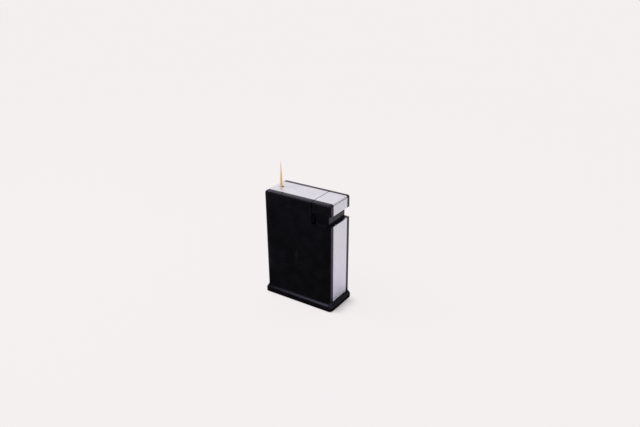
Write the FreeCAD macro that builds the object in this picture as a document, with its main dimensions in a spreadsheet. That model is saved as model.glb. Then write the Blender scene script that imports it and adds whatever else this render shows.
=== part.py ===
import FreeCAD, Part
import os
import Sketcher

# A push-button toothpick dispenser.
# Frame: origin on the table under the middle of the case, +X to the button end,
# -Y to the near side, +Z up. Lengths in millimetres, angles in degrees.

doc = FreeCAD.newDocument("toothpick_dispenser")
sheet = doc.addObject("Spreadsheet::Sheet", "dims")

SIZES = {
    # shared by several pieces: play between them, overlap where parts of one
    # piece join, and how far an opening's cut runs past the surface
    "side_play": 0.1,
    "play": 0.2,
    "wide_play": 0.3,
    "overlap": 0.1,
    "overrun": 1,
    # case
    "case_length": 66,
    "case_depth": 30,
    "total_height": 98,
    "shell_wall": 1.8,
    "rim_width": 4.4,
    "rim_round": 1.8,
    "notch_round": 0.25,
    "back_round": 2.5,
    "band_thick": 1,
    "band_gap": 0.05,
    "seam_x": 14.6,
    "seam_gap": 0.5,
    "ledge_height": 78.35,
    "dimple_x": -2.8,
    "dimple_height": 44.5,
    "dimple_radius": 4.4,
    "dimple_depth": 0.6,
    "pilot_skin": 0.3,
    "pivot_skin": 0.15,
    # foot
    "foot_outset": 2,
    "foot_round": 3,
    "foot_underside": 0.5,
    "foot_floor": 3.6,
    "lip_height": 4.2,
    "foot_top": 8,
    "foot_soft_edge": 0.9,
    "spigot_top": 12.2,
    "spigot_wall": 1.4,
    "spigot_round": 1.2,
    "pad_x": 30.8,
    "pad_y": 12.9,
    "pad_radius": 3,
    "pad_thick": 1.6,
    # foot screws and their bosses
    "boss_x": 25,
    "boss_y": 9,
    "boss_radius": 2.4,
    "boss_top": 20,
    "boss_rib": 1.6,
    "chassis_screw_x": 22,
    "chassis_screw_low": 34,
    "chassis_screw_high": 50,
    "screw_radius": 1.1,
    "screw_end": 14,
    "pilot_depth": 1,
    "screw_head_radius": 2.1,
    "screw_head_bottom": 0.9,
    "screw_head_top": 2.4,
    # hopper
    "hopper_wall": 1.2,
    "hopper_front": 12,
    "hopper_near": -10.2,
    "hopper_far": 7,
    "hopper_top": 94.8,
    "funnel_start": -15.1,
    "throat_x": -22.1,
    "throat_floor": 27.9,
    "throat_floor_thick": 1.9,
    "channel_half": 1.3,
    "channel_front": -24.7,
    "channel_back": -27.5,
    "channel_back_wall": 1.1,
    "funnel_shift": 0.6,
    "web_slot_half": 0.7,
    # pick, its hole and its retainer
    "hole_x": -25.4,
    "hole_radius": 2,
    "hole_flare": 0.5,
    "guide_radius": 3,
    "pick_x": -26.15,
    "pick_radius": 1.025,
    "pick_length": 65,
    "pick_point": 16,
    "pick_tip": 0.15,
    "pick_showing": 22.4,
    "leaf_thick": 0.3,
    "leaf_width": 1.6,
    "window_low": 80,
    "window_half": 1,
    "window_high": 92,
    "leaf_low": 72,
    "leaf_margin": 1,
    "leaf_crest": 86,
    "rivet_height": 75,
    "rivet_radius": 0.6,
    "rivet_head_radius": 1.1,
    "rivet_head_thick": 0.5,
    # lift
    "stroke": 9.16,
    "lift_ratio": 3,
    "front_arm": 12,
    "rocker_x": 10.2,
    "rocker_height": 45,
    "rocker_near": 8.6,
    "rocker_thick": 2,
    "rocker_hub": 4.5,
    "rocker_tip": 2.3,
    "pivot_radius": 1.5,
    "pivot_play": 0.05,
    "pivot_boss": 3,
    "washer_radius": 3.5,
    "link_pin_radius": 1,
    "front_slot_play": 0.15,
    "rear_slot_play": 0.25,
    "lug_near": 10.9,
    "lug_far": 12.6,
    "seat_height": 27.6,
    "cup_lift": 0.01,
    "lifter_foot": 3.9,
    "lug_half_height": 3.6,
    "lug_end": 2.8,
    "bridge_rise": 6.5,
    "backbone_half": 4,
    # button
    "button_bottom": 87.8,
    "button_round": 2,
    "plunger_back": 16.2,
    "plunger_front": 29.7,
    "plunger_half": 12.9,
    "plunger_wall": 1.6,
    "plunger_round": 1.5,
    "plunger_bottom": 70,
    "cap_roof": 95.2,
    "hook_thick": 2,
    "hook_half": 3.7,
    # chassis and spring
    "chassis_plate": 1.4,
    "chassis_back": 13.2,
    "chassis_low": 12.6,
    "chassis_wide_low": 62,
    "chassis_top": 90,
    "flange_near": -10.6,
    "flange_far": -9,
    "flange_low": 26,
    "flange_front": 26,
    "shelf_rib_low": 46,
    "shelf_rib_y": 5,
    "window_play": 0.5,
    "stop_play": 0.15,
    "chassis_head_thick": 1.3,
    "screw_bite": 2,
    "post_radius": 2.5,
    "post_top": 68.4,
    "chassis_far": 8,
    "shelf_bottom": 58.4,
    "shelf_top": 60.2,
    "spring_x": 22.5,
    "spring_y": -2.5,
    "spring_radius": 3.9,
    "spring_wire": 0.9,
    "spring_turns": 9,
    "spring_play": 0.05,
    # refill plug
    "plug_wall": 1.2,
    "plug_roof": 1.6,
    "plug_rear_height": 28.8,
    "plug_front_height": 31.1,
    "flange_reach": 2,
    "flange_bottom": 0.7,
    "flange_top": 2.2,
    "pull_bar_x": -1.5,
    "pull_bar_thick": 1.5,
    "catch_x": 13.8,
    "catch_thick": 0.4,
    "catch_nose": 12.05,
    "catch_height": 9.4,
    "catch_reach": 6.4,
    "catch_y": -2,
    "catch_half": 3,
    "catch_window_half": 2,
    "catch_bend": 1.5,
}

for row, (alias, size) in enumerate(SIZES.items(), start=1):
    sheet.set(f"A{row}", alias)
    sheet.set(f"B{row}", str(size))
    sheet.setAlias(f"B{row}", alias)
doc.recompute()

# Sizes worked out from the sheet, as expressions.
HALF_LENGTH = "dims.case_length / 2"
HALF_DEPTH = "dims.case_depth / 2"
HALF_CORE = "(dims.case_depth / 2 - dims.rim_width)"
HALF_BAND = f"({HALF_CORE} - dims.band_gap)"
INNER_X = "(dims.case_length / 2 - dims.band_thick - dims.shell_wall)"
INNER_Y = "(dims.case_depth / 2 - dims.shell_wall)"
INNER_TOP = "(dims.total_height - dims.band_thick - dims.shell_wall)"
REAR_ARM = "(dims.front_arm * dims.lift_ratio)"
TILT = "asin(dims.stroke / 2 / dims.front_arm)"
RISE = "(dims.stroke / 2)"
BUTTON_BACK = "(dims.seam_x + dims.seam_gap)"
ROCKER_FAR = "(dims.rocker_near + dims.rocker_thick)"
CHANNEL_OUTER = "(dims.channel_half + dims.hopper_wall)"
CHANNEL_END = "(dims.channel_back - dims.channel_back_wall)"
PICK_BOTTOM = "(dims.total_height + dims.pick_showing - dims.pick_length)"


def number(expression):
    """The present value of an expression of the sheet's cells."""
    result = sheet.evalExpression(expression)
    return float(getattr(result, "Value", result))


def new_body(label):
    body = doc.addObject("PartDesign::Body", label)
    body.Label = label
    doc.recompute()
    return body


def sketch_on(body, plane, level):
    """An empty sketch, moved along its plane's normal to the given level.

    XY sketches face +Z, XZ sketches face -Y and YZ sketches face +X.
    """
    sketch = body.newObject("Sketcher::SketchObject", f"{body.Name}_sketch")
    support = [item for item in body.Origin.OriginFeatures if item.Role == f"{plane}_Plane"]
    sketch.AttachmentSupport = [(support[0], "")]
    sketch.MapMode = "FlatFace"
    sketch.setExpression("AttachmentOffset.Base.z", level)
    return sketch


def bind(sketch, kind, elements, name, expression):
    """Add a driving constraint whose value follows an expression."""
    index = sketch.addConstraint(Sketcher.Constraint(kind, *elements, number(expression)))
    sketch.renameConstraint(index, name)
    sketch.setExpression(f"Constraints.{name}", expression)


def outline(body, plane, level, corners):
    """A closed outline of straight lines through corners given as expressions."""
    sketch = sketch_on(body, plane, level)
    add_outline(sketch, corners)
    return sketch


def add_outline(sketch, corners):
    places = [FreeCAD.Vector(number(across), number(along), 0) for across, along in corners]
    first = sketch.GeometryCount
    count = len(places)
    for index in range(count):
        sketch.addGeometry(Part.LineSegment(places[index], places[(index + 1) % count]))
    for index in range(count):
        following = first + (index + 1) % count
        sketch.addConstraint(Sketcher.Constraint("Coincident", first + index, 2, following, 1))
    for index, (across, along) in enumerate(corners):
        line = first + index
        bind(sketch, "DistanceX", (-1, 1, line, 1), f"across_{line}", across)
        bind(sketch, "DistanceY", (-1, 1, line, 1), f"along_{line}", along)


def rectangle(across, along):
    """The corners of a rectangle from its low and high sides."""
    return [(across[0], along[0]), (across[1], along[0]), (across[1], along[1]), (across[0], along[1])]


def circles(body, plane, level, centres, radius):
    sketch = sketch_on(body, plane, level)
    for across, along in centres:
        centre = FreeCAD.Vector(number(across), number(along), 0)
        circle = Part.Circle(centre, FreeCAD.Vector(0, 0, 1), number(radius))
        index = sketch.addGeometry(circle)
        bind(sketch, "DistanceX", (-1, 1, index, 3), f"across_{index}", across)
        bind(sketch, "DistanceY", (-1, 1, index, 3), f"along_{index}", along)
        bind(sketch, "Radius", (index,), f"radius_{index}", radius)
    return sketch


def rounded_rectangle(body, level, half_x, half_y, radius):
    """A rectangle about the Z axis with round corners, as an XY sketch."""
    sketch = sketch_on(body, "XY", level)
    reach_x, reach_y, turn = number(half_x), number(half_y), number(radius)
    signs = [(1, 1), (-1, 1), (-1, -1), (1, -1)]
    quarter = FreeCAD.Units.Quantity("90 deg").getValueAs("rad").Value
    for corner, (sign_x, sign_y) in enumerate(signs):
        centre = FreeCAD.Vector(sign_x * (reach_x - turn), sign_y * (reach_y - turn), 0)
        circle = Part.Circle(centre, FreeCAD.Vector(0, 0, 1), turn)
        sketch.addGeometry(Part.ArcOfCircle(circle, corner * quarter, (corner + 1) * quarter))
    for corner in range(4):
        start = sketch.Geometry[corner].EndPoint
        finish = sketch.Geometry[(corner + 1) % 4].StartPoint
        sketch.addGeometry(Part.LineSegment(start, finish))
    for corner, (sign_x, sign_y) in enumerate(signs):
        side = 4 + corner
        sketch.addConstraint(Sketcher.Constraint("Tangent", corner, 2, side, 1))
        sketch.addConstraint(Sketcher.Constraint("Tangent", side, 2, (corner + 1) % 4, 1))
        across = f"{sign_x} * ({half_x} - ({radius}))"
        along = f"{sign_y} * ({half_y} - ({radius}))"
        bind(sketch, "DistanceX", (-1, 1, corner, 3), f"across_{corner}", across)
        bind(sketch, "DistanceY", (-1, 1, corner, 3), f"along_{corner}", along)
    bind(sketch, "Radius", (0,), "corner_radius", radius)
    for corner in range(1, 4):
        sketch.addConstraint(Sketcher.Constraint("Equal", 0, corner))
    return sketch


def add_feature(body, kind, sketch, length, reverse=False, midplane=False):
    """Pad or pocket a sketch by a length given as an expression."""
    doc.recompute()
    before = body.Shape.Volume if body.Tip else 0.0
    feature = body.newObject(f"PartDesign::{kind}", f"{body.Name}_{kind.lower()}")
    feature.Profile = sketch
    feature.setExpression("Length", length)
    feature.Reversed = reverse
    feature.Midplane = midplane
    doc.recompute()
    change = body.Shape.Volume - before
    if (kind == "Pad") != (change > 0.01):
        raise ValueError(f"{feature.Name} changed the volume by {change:.3f}")
    return feature


def pad(body, sketch, length, reverse=False, midplane=False):
    return add_feature(body, "Pad", sketch, length, reverse, midplane)


def pocket(body, sketch, length, reverse=False, midplane=False):
    return add_feature(body, "Pocket", sketch, length, reverse, midplane)


def dress(body, kind, size_name, size, chosen):
    """Round or chamfer the edges of the body's last feature that the test picks out."""
    base = body.Tip
    names = [f"Edge{place}" for place, edge in enumerate(base.Shape.Edges, start=1) if chosen(edge)]
    feature = body.newObject(f"PartDesign::{kind}", f"{body.Name}_{kind.lower()}")
    feature.Base = (base, names)
    feature.setExpression(size_name, size)
    doc.recompute()
    return feature


def fillet(body, radius, chosen):
    return dress(body, "Fillet", "Radius", radius, chosen)


def chamfer(body, size, chosen):
    return dress(body, "Chamfer", "Size", size, chosen)


def edge_at(edge, **places):
    """True where the whole edge lies on the planes named, such as x=33."""
    box = edge.BoundBox
    spans = {"x": (box.XMin, box.XMax), "y": (box.YMin, box.YMax), "z": (box.ZMin, box.ZMax)}
    return all(abs(end - place) < 0.01 for axis, place in places.items() for end in spans[axis])


def block(name, x, y, z):
    """A box between low and high expressions on each axis."""
    solid = doc.addObject("Part::Box", name)
    for side, axis, (low, high) in (("Length", "x", x), ("Width", "y", y), ("Height", "z", z)):
        solid.setExpression(side, f"({high}) - ({low})")
        solid.setExpression(f"Placement.Base.{axis}", low)
    return solid


def rod(name, axis, start, length, radius):
    """A cylinder along an axis from a start point given as three expressions."""
    turns = {
        "x": FreeCAD.Rotation(FreeCAD.Vector(0, 1, 0), 90),
        "y": FreeCAD.Rotation(FreeCAD.Vector(1, 0, 0), -90),
        "z": FreeCAD.Rotation(),
    }
    solid = doc.addObject("Part::Cylinder", name)
    solid.Placement.Rotation = turns[axis]
    solid.setExpression("Radius", radius)
    solid.setExpression("Height", length)
    for place, expression in zip("xyz", start):
        solid.setExpression(f"Placement.Base.{place}", expression)
    return solid


def fuse(name, solids):
    joined = doc.addObject("Part::MultiFuse", name)
    joined.Shapes = solids
    joined.Refine = True
    return joined


def cut(name, base, tools):
    tool = tools[0] if len(tools) == 1 else fuse(f"{name}_tools", tools)
    result = doc.addObject("Part::Cut", name)
    result.Base = base
    result.Tool = tool
    result.Refine = True
    return result


def group(name, solids):
    gathered = doc.addObject("Part::Compound", name)
    gathered.Links = solids
    return gathered


# --- case -----------------------------------------------------------------

def case_outline(inset):
    """The side view of the case: an upright block with the button's notch cut out."""
    back = f"-({HALF_LENGTH}) + {inset}"
    front = f"{HALF_LENGTH} - {inset}"
    top = f"dims.total_height - {inset}"
    return [
        (back, "dims.foot_top"),
        (front, "dims.foot_top"),
        (front, "dims.ledge_height"),
        ("dims.seam_x", "dims.ledge_height"),
        ("dims.seam_x", top),
        (back, top),
    ]


def side_shell(label, side):
    """Half of the case, as a tray: side -1 is the near one and +1 the far one."""
    body = new_body(label)
    far = side > 0
    pad(body, outline(body, "XZ", f"{-side} * {HALF_CORE}", case_outline("0")), "dims.rim_width", far)
    pad(body, outline(body, "XZ", "0", case_outline("dims.band_thick")), HALF_CORE, far)

    half_length, height = number(HALF_LENGTH), number("dims.total_height")
    band = number("dims.band_thick")
    fillet(body, "dims.back_round", lambda edge: edge_at(edge, x=-half_length, z=height))
    inner_round = "dims.back_round - dims.band_thick"
    fillet(body, inner_round, lambda edge: edge_at(edge, x=-half_length + band, z=height - band))
    face = side * number(HALF_DEPTH)
    seam, ledge = number("dims.seam_x"), number("dims.ledge_height")
    foot_top = number("dims.foot_top")

    def outer_rim(edge):
        plain = not edge_at(edge, x=seam) and not edge_at(edge, z=ledge) and not edge_at(edge, z=foot_top)
        return edge_at(edge, y=face) and plain

    def notch_rim(edge):
        return edge_at(edge, y=face, x=seam) or edge_at(edge, y=face, z=ledge)

    fillet(body, "dims.rim_round", outer_rim)
    fillet(body, "dims.notch_round", notch_rim)

    hollow = rectangle((f"-{INNER_X}", INNER_X), ("dims.foot_top - dims.overrun", INNER_TOP))
    pocket(body, outline(body, "XZ", "0", hollow), INNER_Y, not far)
    guide = circles(body, "XY", "dims.total_height", [("dims.hole_x", "0")], "dims.guide_radius")
    pocket(body, guide, "dims.total_height - dims.hopper_top")

    add_foot_bosses(body, side)
    return body


def add_foot_bosses(body, side):
    """Two screw bosses, each on a rib from the shell's wall above the foot's spigot."""
    rib_low = "dims.spigot_top + dims.play"
    ribs = sketch_on(body, "XY", rib_low)
    for end in ("-", ""):
        middle = f"{end}dims.boss_x"
        across = (f"{middle} - dims.boss_rib / 2", f"{middle} + dims.boss_rib / 2")
        along = (f"{side} * dims.boss_y", f"{side} * ({INNER_Y} + dims.overlap)")
        add_outline(ribs, rectangle(across, along))
    centres = [(f"{end}dims.boss_x", f"{side} * dims.boss_y") for end in ("-", "")]
    pad(body, ribs, f"dims.boss_top - ({rib_low})")
    posts = circles(body, "XY", "dims.foot_floor", centres, "dims.boss_radius")
    pad(body, posts, "dims.boss_top - dims.foot_floor")
    pilot = circles(body, "XY", "dims.foot_floor", centres, "dims.screw_radius")
    pocket(body, pilot, "dims.screw_end - dims.foot_floor + dims.pilot_depth", True)


side_shell_near = side_shell("side_shell_near", -1)
dimple_place = [("dims.dimple_x", "dims.dimple_height")]
dimple = circles(side_shell_near, "XZ", HALF_DEPTH, dimple_place, "dims.dimple_radius")
pocket(side_shell_near, dimple, "dims.dimple_depth")

CHASSIS_SCREWS = [
    ("dims.chassis_screw_x", "dims.chassis_screw_low"),
    ("dims.chassis_screw_x", "dims.chassis_screw_high"),
]
boss_level = f"{INNER_Y} + dims.overlap"
chassis_bosses = circles(side_shell_near, "XZ", boss_level, CHASSIS_SCREWS, "dims.boss_radius")
pad(side_shell_near, chassis_bosses, f"{INNER_Y} + dims.overlap + dims.flange_near", True)
chassis_pilots = circles(side_shell_near, "XZ", "-dims.flange_near", CHASSIS_SCREWS, "dims.screw_radius")
pocket(side_shell_near, chassis_pilots, f"{INNER_Y} + dims.flange_near - dims.pilot_skin", True)

side_shell_far = side_shell("side_shell_far", 1)
pivot_place = [("dims.rocker_x", "dims.rocker_height")]
PIVOT_FACE = f"({ROCKER_FAR} + dims.play)"
pivot_boss = circles(side_shell_far, "XZ", f"-({INNER_Y} + dims.overlap)", pivot_place, "dims.pivot_boss")
pad(side_shell_far, pivot_boss, f"{INNER_Y} + dims.overlap - {PIVOT_FACE}")
pivot_seat = circles(side_shell_far, "XZ", f"-{PIVOT_FACE}", pivot_place, "dims.pivot_radius")
pocket(side_shell_far, pivot_seat, f"{INNER_Y} - {PIVOT_FACE} - dims.pivot_skin")

top_band = new_body("top_band")
band_profile = [
    (f"-({HALF_LENGTH})", "dims.foot_top + dims.side_play"),
    (f"-({HALF_LENGTH}) + dims.band_thick", "dims.foot_top + dims.side_play"),
    (f"-({HALF_LENGTH}) + dims.band_thick", "dims.total_height - dims.band_thick"),
    ("dims.seam_x", "dims.total_height - dims.band_thick"),
    ("dims.seam_x", "dims.total_height"),
    (f"-({HALF_LENGTH})", "dims.total_height"),
]
pad(top_band, outline(top_band, "XZ", "0", band_profile), f"2 * {HALF_BAND}", midplane=True)
outer_x, outer_z = -number(HALF_LENGTH), number("dims.total_height")
band_thick = number("dims.band_thick")
fillet(top_band, "dims.back_round", lambda edge: edge_at(edge, x=outer_x, z=outer_z))
fillet(
    top_band,
    "dims.back_round - dims.band_thick",
    lambda edge: edge_at(edge, x=outer_x + band_thick, z=outer_z - band_thick),
)
pick_hole = circles(top_band, "XY", "dims.total_height", [("dims.hole_x", "0")], "dims.hole_radius")
pocket(top_band, pick_hole, "dims.band_thick")


def hole_rim(edge):
    return edge_at(edge, z=outer_z) and isinstance(edge.Curve, Part.Circle)


chamfer(top_band, "dims.hole_flare", hole_rim)

front_panel = block(
    "front_panel",
    (f"{HALF_LENGTH} - dims.band_thick", HALF_LENGTH),
    (f"-{HALF_BAND}", HALF_BAND),
    ("dims.foot_top + dims.side_play", "dims.ledge_height"),
)

# --- foot -----------------------------------------------------------------

foot = new_body("foot")
LIP_X, LIP_Y = f"({HALF_LENGTH} + dims.foot_outset)", f"({HALF_DEPTH} + dims.foot_outset)"
SPIGOT_X, SPIGOT_Y = f"({INNER_X} - dims.play)", f"({INNER_Y} - dims.play)"
lip = rounded_rectangle(foot, "dims.foot_underside", LIP_X, LIP_Y, "dims.foot_round")
pad(foot, lip, "dims.lip_height - dims.foot_underside")
flare_low = rounded_rectangle(foot, "dims.lip_height", LIP_X, LIP_Y, "dims.foot_round")
flare_high = rounded_rectangle(foot, "dims.foot_top", HALF_LENGTH, HALF_DEPTH, "dims.rim_round")
doc.recompute()
flare = foot.newObject("PartDesign::AdditiveLoft", "foot_flare")
flare.Profile = flare_low
flare.Sections = [flare_high]
flare.Ruled = True
doc.recompute()
lip_height, underside = number("dims.lip_height"), number("dims.foot_underside")
fillet(foot, "dims.foot_soft_edge", lambda edge: edge_at(edge, z=underside) or edge_at(edge, z=lip_height))
spigot = rounded_rectangle(foot, "dims.foot_top", SPIGOT_X, SPIGOT_Y, "dims.spigot_round")
pad(foot, spigot, "dims.spigot_top - dims.foot_top")
cavity = rectangle(
    (f"-{SPIGOT_X} + dims.spigot_wall", f"{SPIGOT_X} - dims.spigot_wall"),
    (f"-{SPIGOT_Y} + dims.spigot_wall", f"{SPIGOT_Y} - dims.spigot_wall"),
)
pocket(foot, outline(foot, "XY", "dims.spigot_top", cavity), "dims.spigot_top - dims.foot_floor")
PORT_X = ("dims.funnel_start", "dims.hopper_front")
PORT_Y = ("dims.hopper_near", "dims.hopper_far")
pocket(foot, outline(foot, "XY", "dims.foot_floor", rectangle(PORT_X, PORT_Y)), "dims.foot_floor")
flange_seat = rectangle(
    (f"{PORT_X[0]} - dims.flange_reach", f"{PORT_X[1]} + dims.flange_reach"),
    (f"{PORT_Y[0]} - dims.flange_reach", f"{PORT_Y[1]} + dims.flange_reach"),
)
flange_level = "dims.flange_top + dims.side_play"
pocket(foot, outline(foot, "XY", flange_level, flange_seat), flange_level)
corners = [(sign_x, sign_y) for sign_x in ("-", "") for sign_y in ("-", "")]
PADS = [(f"{sign_x}dims.pad_x", f"{sign_y}dims.pad_y") for sign_x, sign_y in corners]
SCREWS = [(f"{sign_x}dims.boss_x", f"{sign_y}dims.boss_y") for sign_x, sign_y in corners]
pocket(foot, circles(foot, "XY", "dims.pad_thick", PADS, "dims.pad_radius"), "dims.pad_thick")
head_holes = circles(foot, "XY", "dims.screw_head_top", SCREWS, "dims.screw_head_radius + dims.side_play")
pocket(foot, head_holes, "dims.screw_head_top")
shank_holes = circles(foot, "XY", "dims.foot_floor", SCREWS, "dims.screw_radius + dims.side_play")
pocket(foot, shank_holes, "dims.foot_floor")

pads = [
    rod(f"pad_{place}", "z", (across, along, "0"), "dims.pad_thick", "dims.pad_radius")
    for place, (across, along) in enumerate(PADS)
]
foot_pads = group("foot_pads", pads)


def foot_screw(place, across, along):
    start = (across, along, "dims.screw_head_bottom")
    head_length = "dims.screw_head_top - dims.screw_head_bottom"
    head = rod(f"screw_head_{place}", "z", start, head_length, "dims.screw_head_radius")
    shank_length = "dims.screw_end - dims.screw_head_bottom"
    shank = rod(f"screw_shank_{place}", "z", start, shank_length, "dims.screw_radius")
    return fuse(f"foot_screw_{place}", [head, shank])


foot_screws = group("foot_screws", [foot_screw(place, *spot) for place, spot in enumerate(SCREWS)])

# --- hopper ---------------------------------------------------------------

hopper = new_body("hopper")
OUT = "dims.hopper_wall"
outer_plan = [
    (f"dims.hopper_front + {OUT}", f"dims.hopper_near - {OUT}"),
    (f"dims.hopper_front + {OUT}", f"dims.hopper_far + {OUT}"),
    ("dims.funnel_start - dims.funnel_shift", f"dims.hopper_far + {OUT}"),
    ("dims.throat_x - dims.funnel_shift", CHANNEL_OUTER),
    (CHANNEL_END, CHANNEL_OUTER),
    (CHANNEL_END, f"-{CHANNEL_OUTER}"),
    ("dims.throat_x - dims.funnel_shift", f"-{CHANNEL_OUTER}"),
    ("dims.funnel_start - dims.funnel_shift", f"dims.hopper_near - {OUT}"),
]
funnel_plan = [
    ("dims.funnel_start", "dims.hopper_near"),
    ("dims.funnel_start", "dims.hopper_far"),
    ("dims.throat_x", "dims.channel_half"),
    ("dims.channel_back", "dims.channel_half"),
    ("dims.channel_back", "-dims.channel_half"),
    ("dims.throat_x", "-dims.channel_half"),
]
pad(hopper, outline(hopper, "XY", "dims.foot_floor", outer_plan), "dims.hopper_top - dims.foot_floor")
store = outline(hopper, "XY", "dims.hopper_top", rectangle(PORT_X, PORT_Y))
pocket(hopper, store, "dims.hopper_top - dims.foot_floor")
pocket(hopper, outline(hopper, "XY", "dims.hopper_top", funnel_plan), "dims.hopper_top - dims.throat_floor")
under_floor = "dims.throat_floor - dims.throat_floor_thick"
pocket(hopper, outline(hopper, "XY", under_floor, funnel_plan), f"{under_floor} - dims.foot_floor")
CHANNEL_Y = ("-dims.channel_half", "dims.channel_half")
channel = rectangle(("dims.channel_back", "dims.channel_front"), CHANNEL_Y)
pocket(hopper, outline(hopper, "XY", "dims.throat_floor", channel), "dims.throat_floor_thick")
web_slot = rectangle(
    (f"{CHANNEL_END} - dims.overrun", "dims.channel_back + dims.overlap"),
    ("-dims.web_slot_half", "dims.web_slot_half"),
)
pocket(hopper, outline(hopper, "XY", "dims.hopper_top", web_slot), "dims.hopper_top - dims.foot_floor")
window_x = ("dims.pick_x - dims.window_half", "dims.pick_x + dims.window_half")
leaf_window = rectangle(window_x, ("dims.window_low", "dims.window_high"))
leaf_opening = outline(hopper, "XZ", "dims.overlap - dims.channel_half", leaf_window)
pocket(hopper, leaf_opening, "dims.hopper_wall + dims.play")
RIVET = [("dims.pick_x", "dims.rivet_height")]
rivet_hole = circles(hopper, "XZ", "-dims.channel_half", RIVET, "dims.rivet_radius")
pocket(hopper, rivet_hole, "dims.hopper_wall")
pivot_hole = circles(hopper, "XZ", "-dims.hopper_far", pivot_place, "dims.pivot_radius")
pocket(hopper, pivot_hole, "dims.hopper_wall")
catch_window = rectangle(
    ("dims.catch_y - dims.catch_half - dims.wide_play", "dims.catch_y + dims.catch_half + dims.wide_play"),
    ("dims.catch_height - dims.catch_window_half", "dims.catch_height + dims.catch_window_half"),
)
pocket(hopper, outline(hopper, "YZ", f"dims.hopper_front + {OUT}", catch_window), OUT)

# --- refill plug ----------------------------------------------------------

PLUG_X = (f"{PORT_X[0]} + dims.wide_play", f"{PORT_X[1]} - dims.wide_play")
PLUG_Y = (f"{PORT_Y[0]} + dims.wide_play", f"{PORT_Y[1]} - dims.wide_play")
refill_plug = new_body("refill_plug")
plug_side = [
    (PLUG_X[0], "dims.flange_bottom"),
    (PLUG_X[1], "dims.flange_bottom"),
    (PLUG_X[1], "dims.plug_front_height"),
    (PLUG_X[0], "dims.plug_rear_height"),
]
pad(refill_plug, outline(refill_plug, "XZ", f"-({PLUG_Y[1]})", plug_side), f"({PLUG_Y[1]}) - ({PLUG_Y[0]})")
flange = rectangle(
    (f"{PLUG_X[0]} - dims.flange_reach", f"{PLUG_X[1]} + dims.flange_reach"),
    (f"{PLUG_Y[0]} - dims.flange_reach", f"{PLUG_Y[1]} + dims.flange_reach"),
)
flange_sketch = outline(refill_plug, "XY", "dims.flange_bottom", flange)
pad(refill_plug, flange_sketch, "dims.flange_top - dims.flange_bottom")
PULL_BAR = ("dims.pull_bar_x - dims.pull_bar_thick / 2", "dims.pull_bar_x + dims.pull_bar_thick / 2")


def plug_hollow(low, high):
    """One of the two finger hollows, each side of the pull bar."""
    return [
        (low, "dims.flange_bottom - dims.overrun"),
        (high, "dims.flange_bottom - dims.overrun"),
        (high, "dims.plug_rear_height - dims.plug_roof"),
        (low, "dims.plug_rear_height - dims.plug_roof"),
    ]


hollow_level = f"-({PLUG_Y[1]} - dims.plug_wall)"
hollows = sketch_on(refill_plug, "XZ", hollow_level)
add_outline(hollows, plug_hollow(f"{PLUG_X[0]} + dims.plug_wall", PULL_BAR[0]))
add_outline(hollows, plug_hollow(PULL_BAR[1], f"{PLUG_X[1]} - dims.plug_wall"))
pocket(refill_plug, hollows, f"({PLUG_Y[1]}) - ({PLUG_Y[0]}) - 2 * dims.plug_wall", True)

plug_catch = new_body("plug_catch")
CATCH_FRONT = "dims.catch_x + dims.catch_thick"
catch_profile = [
    ("dims.catch_x", "dims.foot_floor"),
    ("dims.catch_x + dims.catch_reach", "dims.foot_floor"),
    ("dims.catch_x + dims.catch_reach", "dims.foot_floor + dims.catch_thick"),
    (CATCH_FRONT, "dims.foot_floor + dims.catch_thick"),
    (CATCH_FRONT, "dims.catch_height - dims.catch_bend + dims.play"),
    ("dims.catch_nose + 1.5 * dims.catch_thick", "dims.catch_height"),
    (CATCH_FRONT, "dims.catch_height + dims.catch_bend - dims.play"),
    ("dims.catch_x", "dims.catch_height + dims.catch_bend"),
    ("dims.catch_nose", "dims.catch_height"),
    ("dims.catch_x", "dims.catch_height - dims.catch_bend"),
]
catch_sketch = outline(plug_catch, "XZ", "-(dims.catch_y + dims.catch_half)", catch_profile)
pad(plug_catch, catch_sketch, "2 * dims.catch_half")

# --- pick, guide and retainer ---------------------------------------------

toothpick = new_body("toothpick")
half_profile = [
    ("0", "0"),
    ("dims.pick_tip", "0"),
    ("dims.pick_radius", "dims.pick_point"),
    ("dims.pick_radius", "dims.pick_length - dims.pick_point"),
    ("dims.pick_tip", "dims.pick_length"),
    ("0", "dims.pick_length"),
]
pick_sketch = outline(toothpick, "XZ", "0", half_profile)
doc.recompute()
turning = toothpick.newObject("PartDesign::Revolution", "toothpick_turning")
turning.Profile = pick_sketch
turning.ReferenceAxis = (pick_sketch, ["V_Axis"])
turning.Angle = 360
toothpick.setExpression("Placement.Base.x", "dims.pick_x")
toothpick.setExpression("Placement.Base.z", PICK_BOTTOM)

guide_start = ("dims.hole_x", "0", INNER_TOP)
guide_outer = rod("guide_outer", "z", guide_start, "dims.shell_wall", "dims.guide_radius")
guide_bore = rod("guide_bore", "z", guide_start, "dims.shell_wall", "dims.hole_radius")
pick_guide = cut("pick_guide", guide_outer, [guide_bore])

pick_retainer = new_body("pick_retainer")
LEAF_FAR = f"{CHANNEL_OUTER} + dims.leaf_thick"
LEAF_CREST = "dims.pick_radius + dims.wide_play"
leaf_profile = [
    (CHANNEL_OUTER, "dims.leaf_low"),
    (LEAF_FAR, "dims.leaf_low"),
    (LEAF_FAR, "dims.window_low + dims.leaf_margin"),
    (f"{LEAF_CREST} + dims.leaf_thick", "dims.leaf_crest"),
    (LEAF_FAR, "dims.window_high - dims.leaf_margin"),
    (CHANNEL_OUTER, "dims.window_high - dims.leaf_margin"),
    (LEAF_CREST, "dims.leaf_crest"),
    (CHANNEL_OUTER, "dims.window_low + dims.leaf_margin"),
]
leaf_sketch = outline(pick_retainer, "YZ", "dims.pick_x - dims.leaf_width / 2", leaf_profile)
pad(pick_retainer, leaf_sketch, "dims.leaf_width")
leaf_hole = circles(pick_retainer, "XZ", f"-({CHANNEL_OUTER})", RIVET, "dims.rivet_radius")
pocket(pick_retainer, leaf_hole, "dims.leaf_thick")

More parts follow.
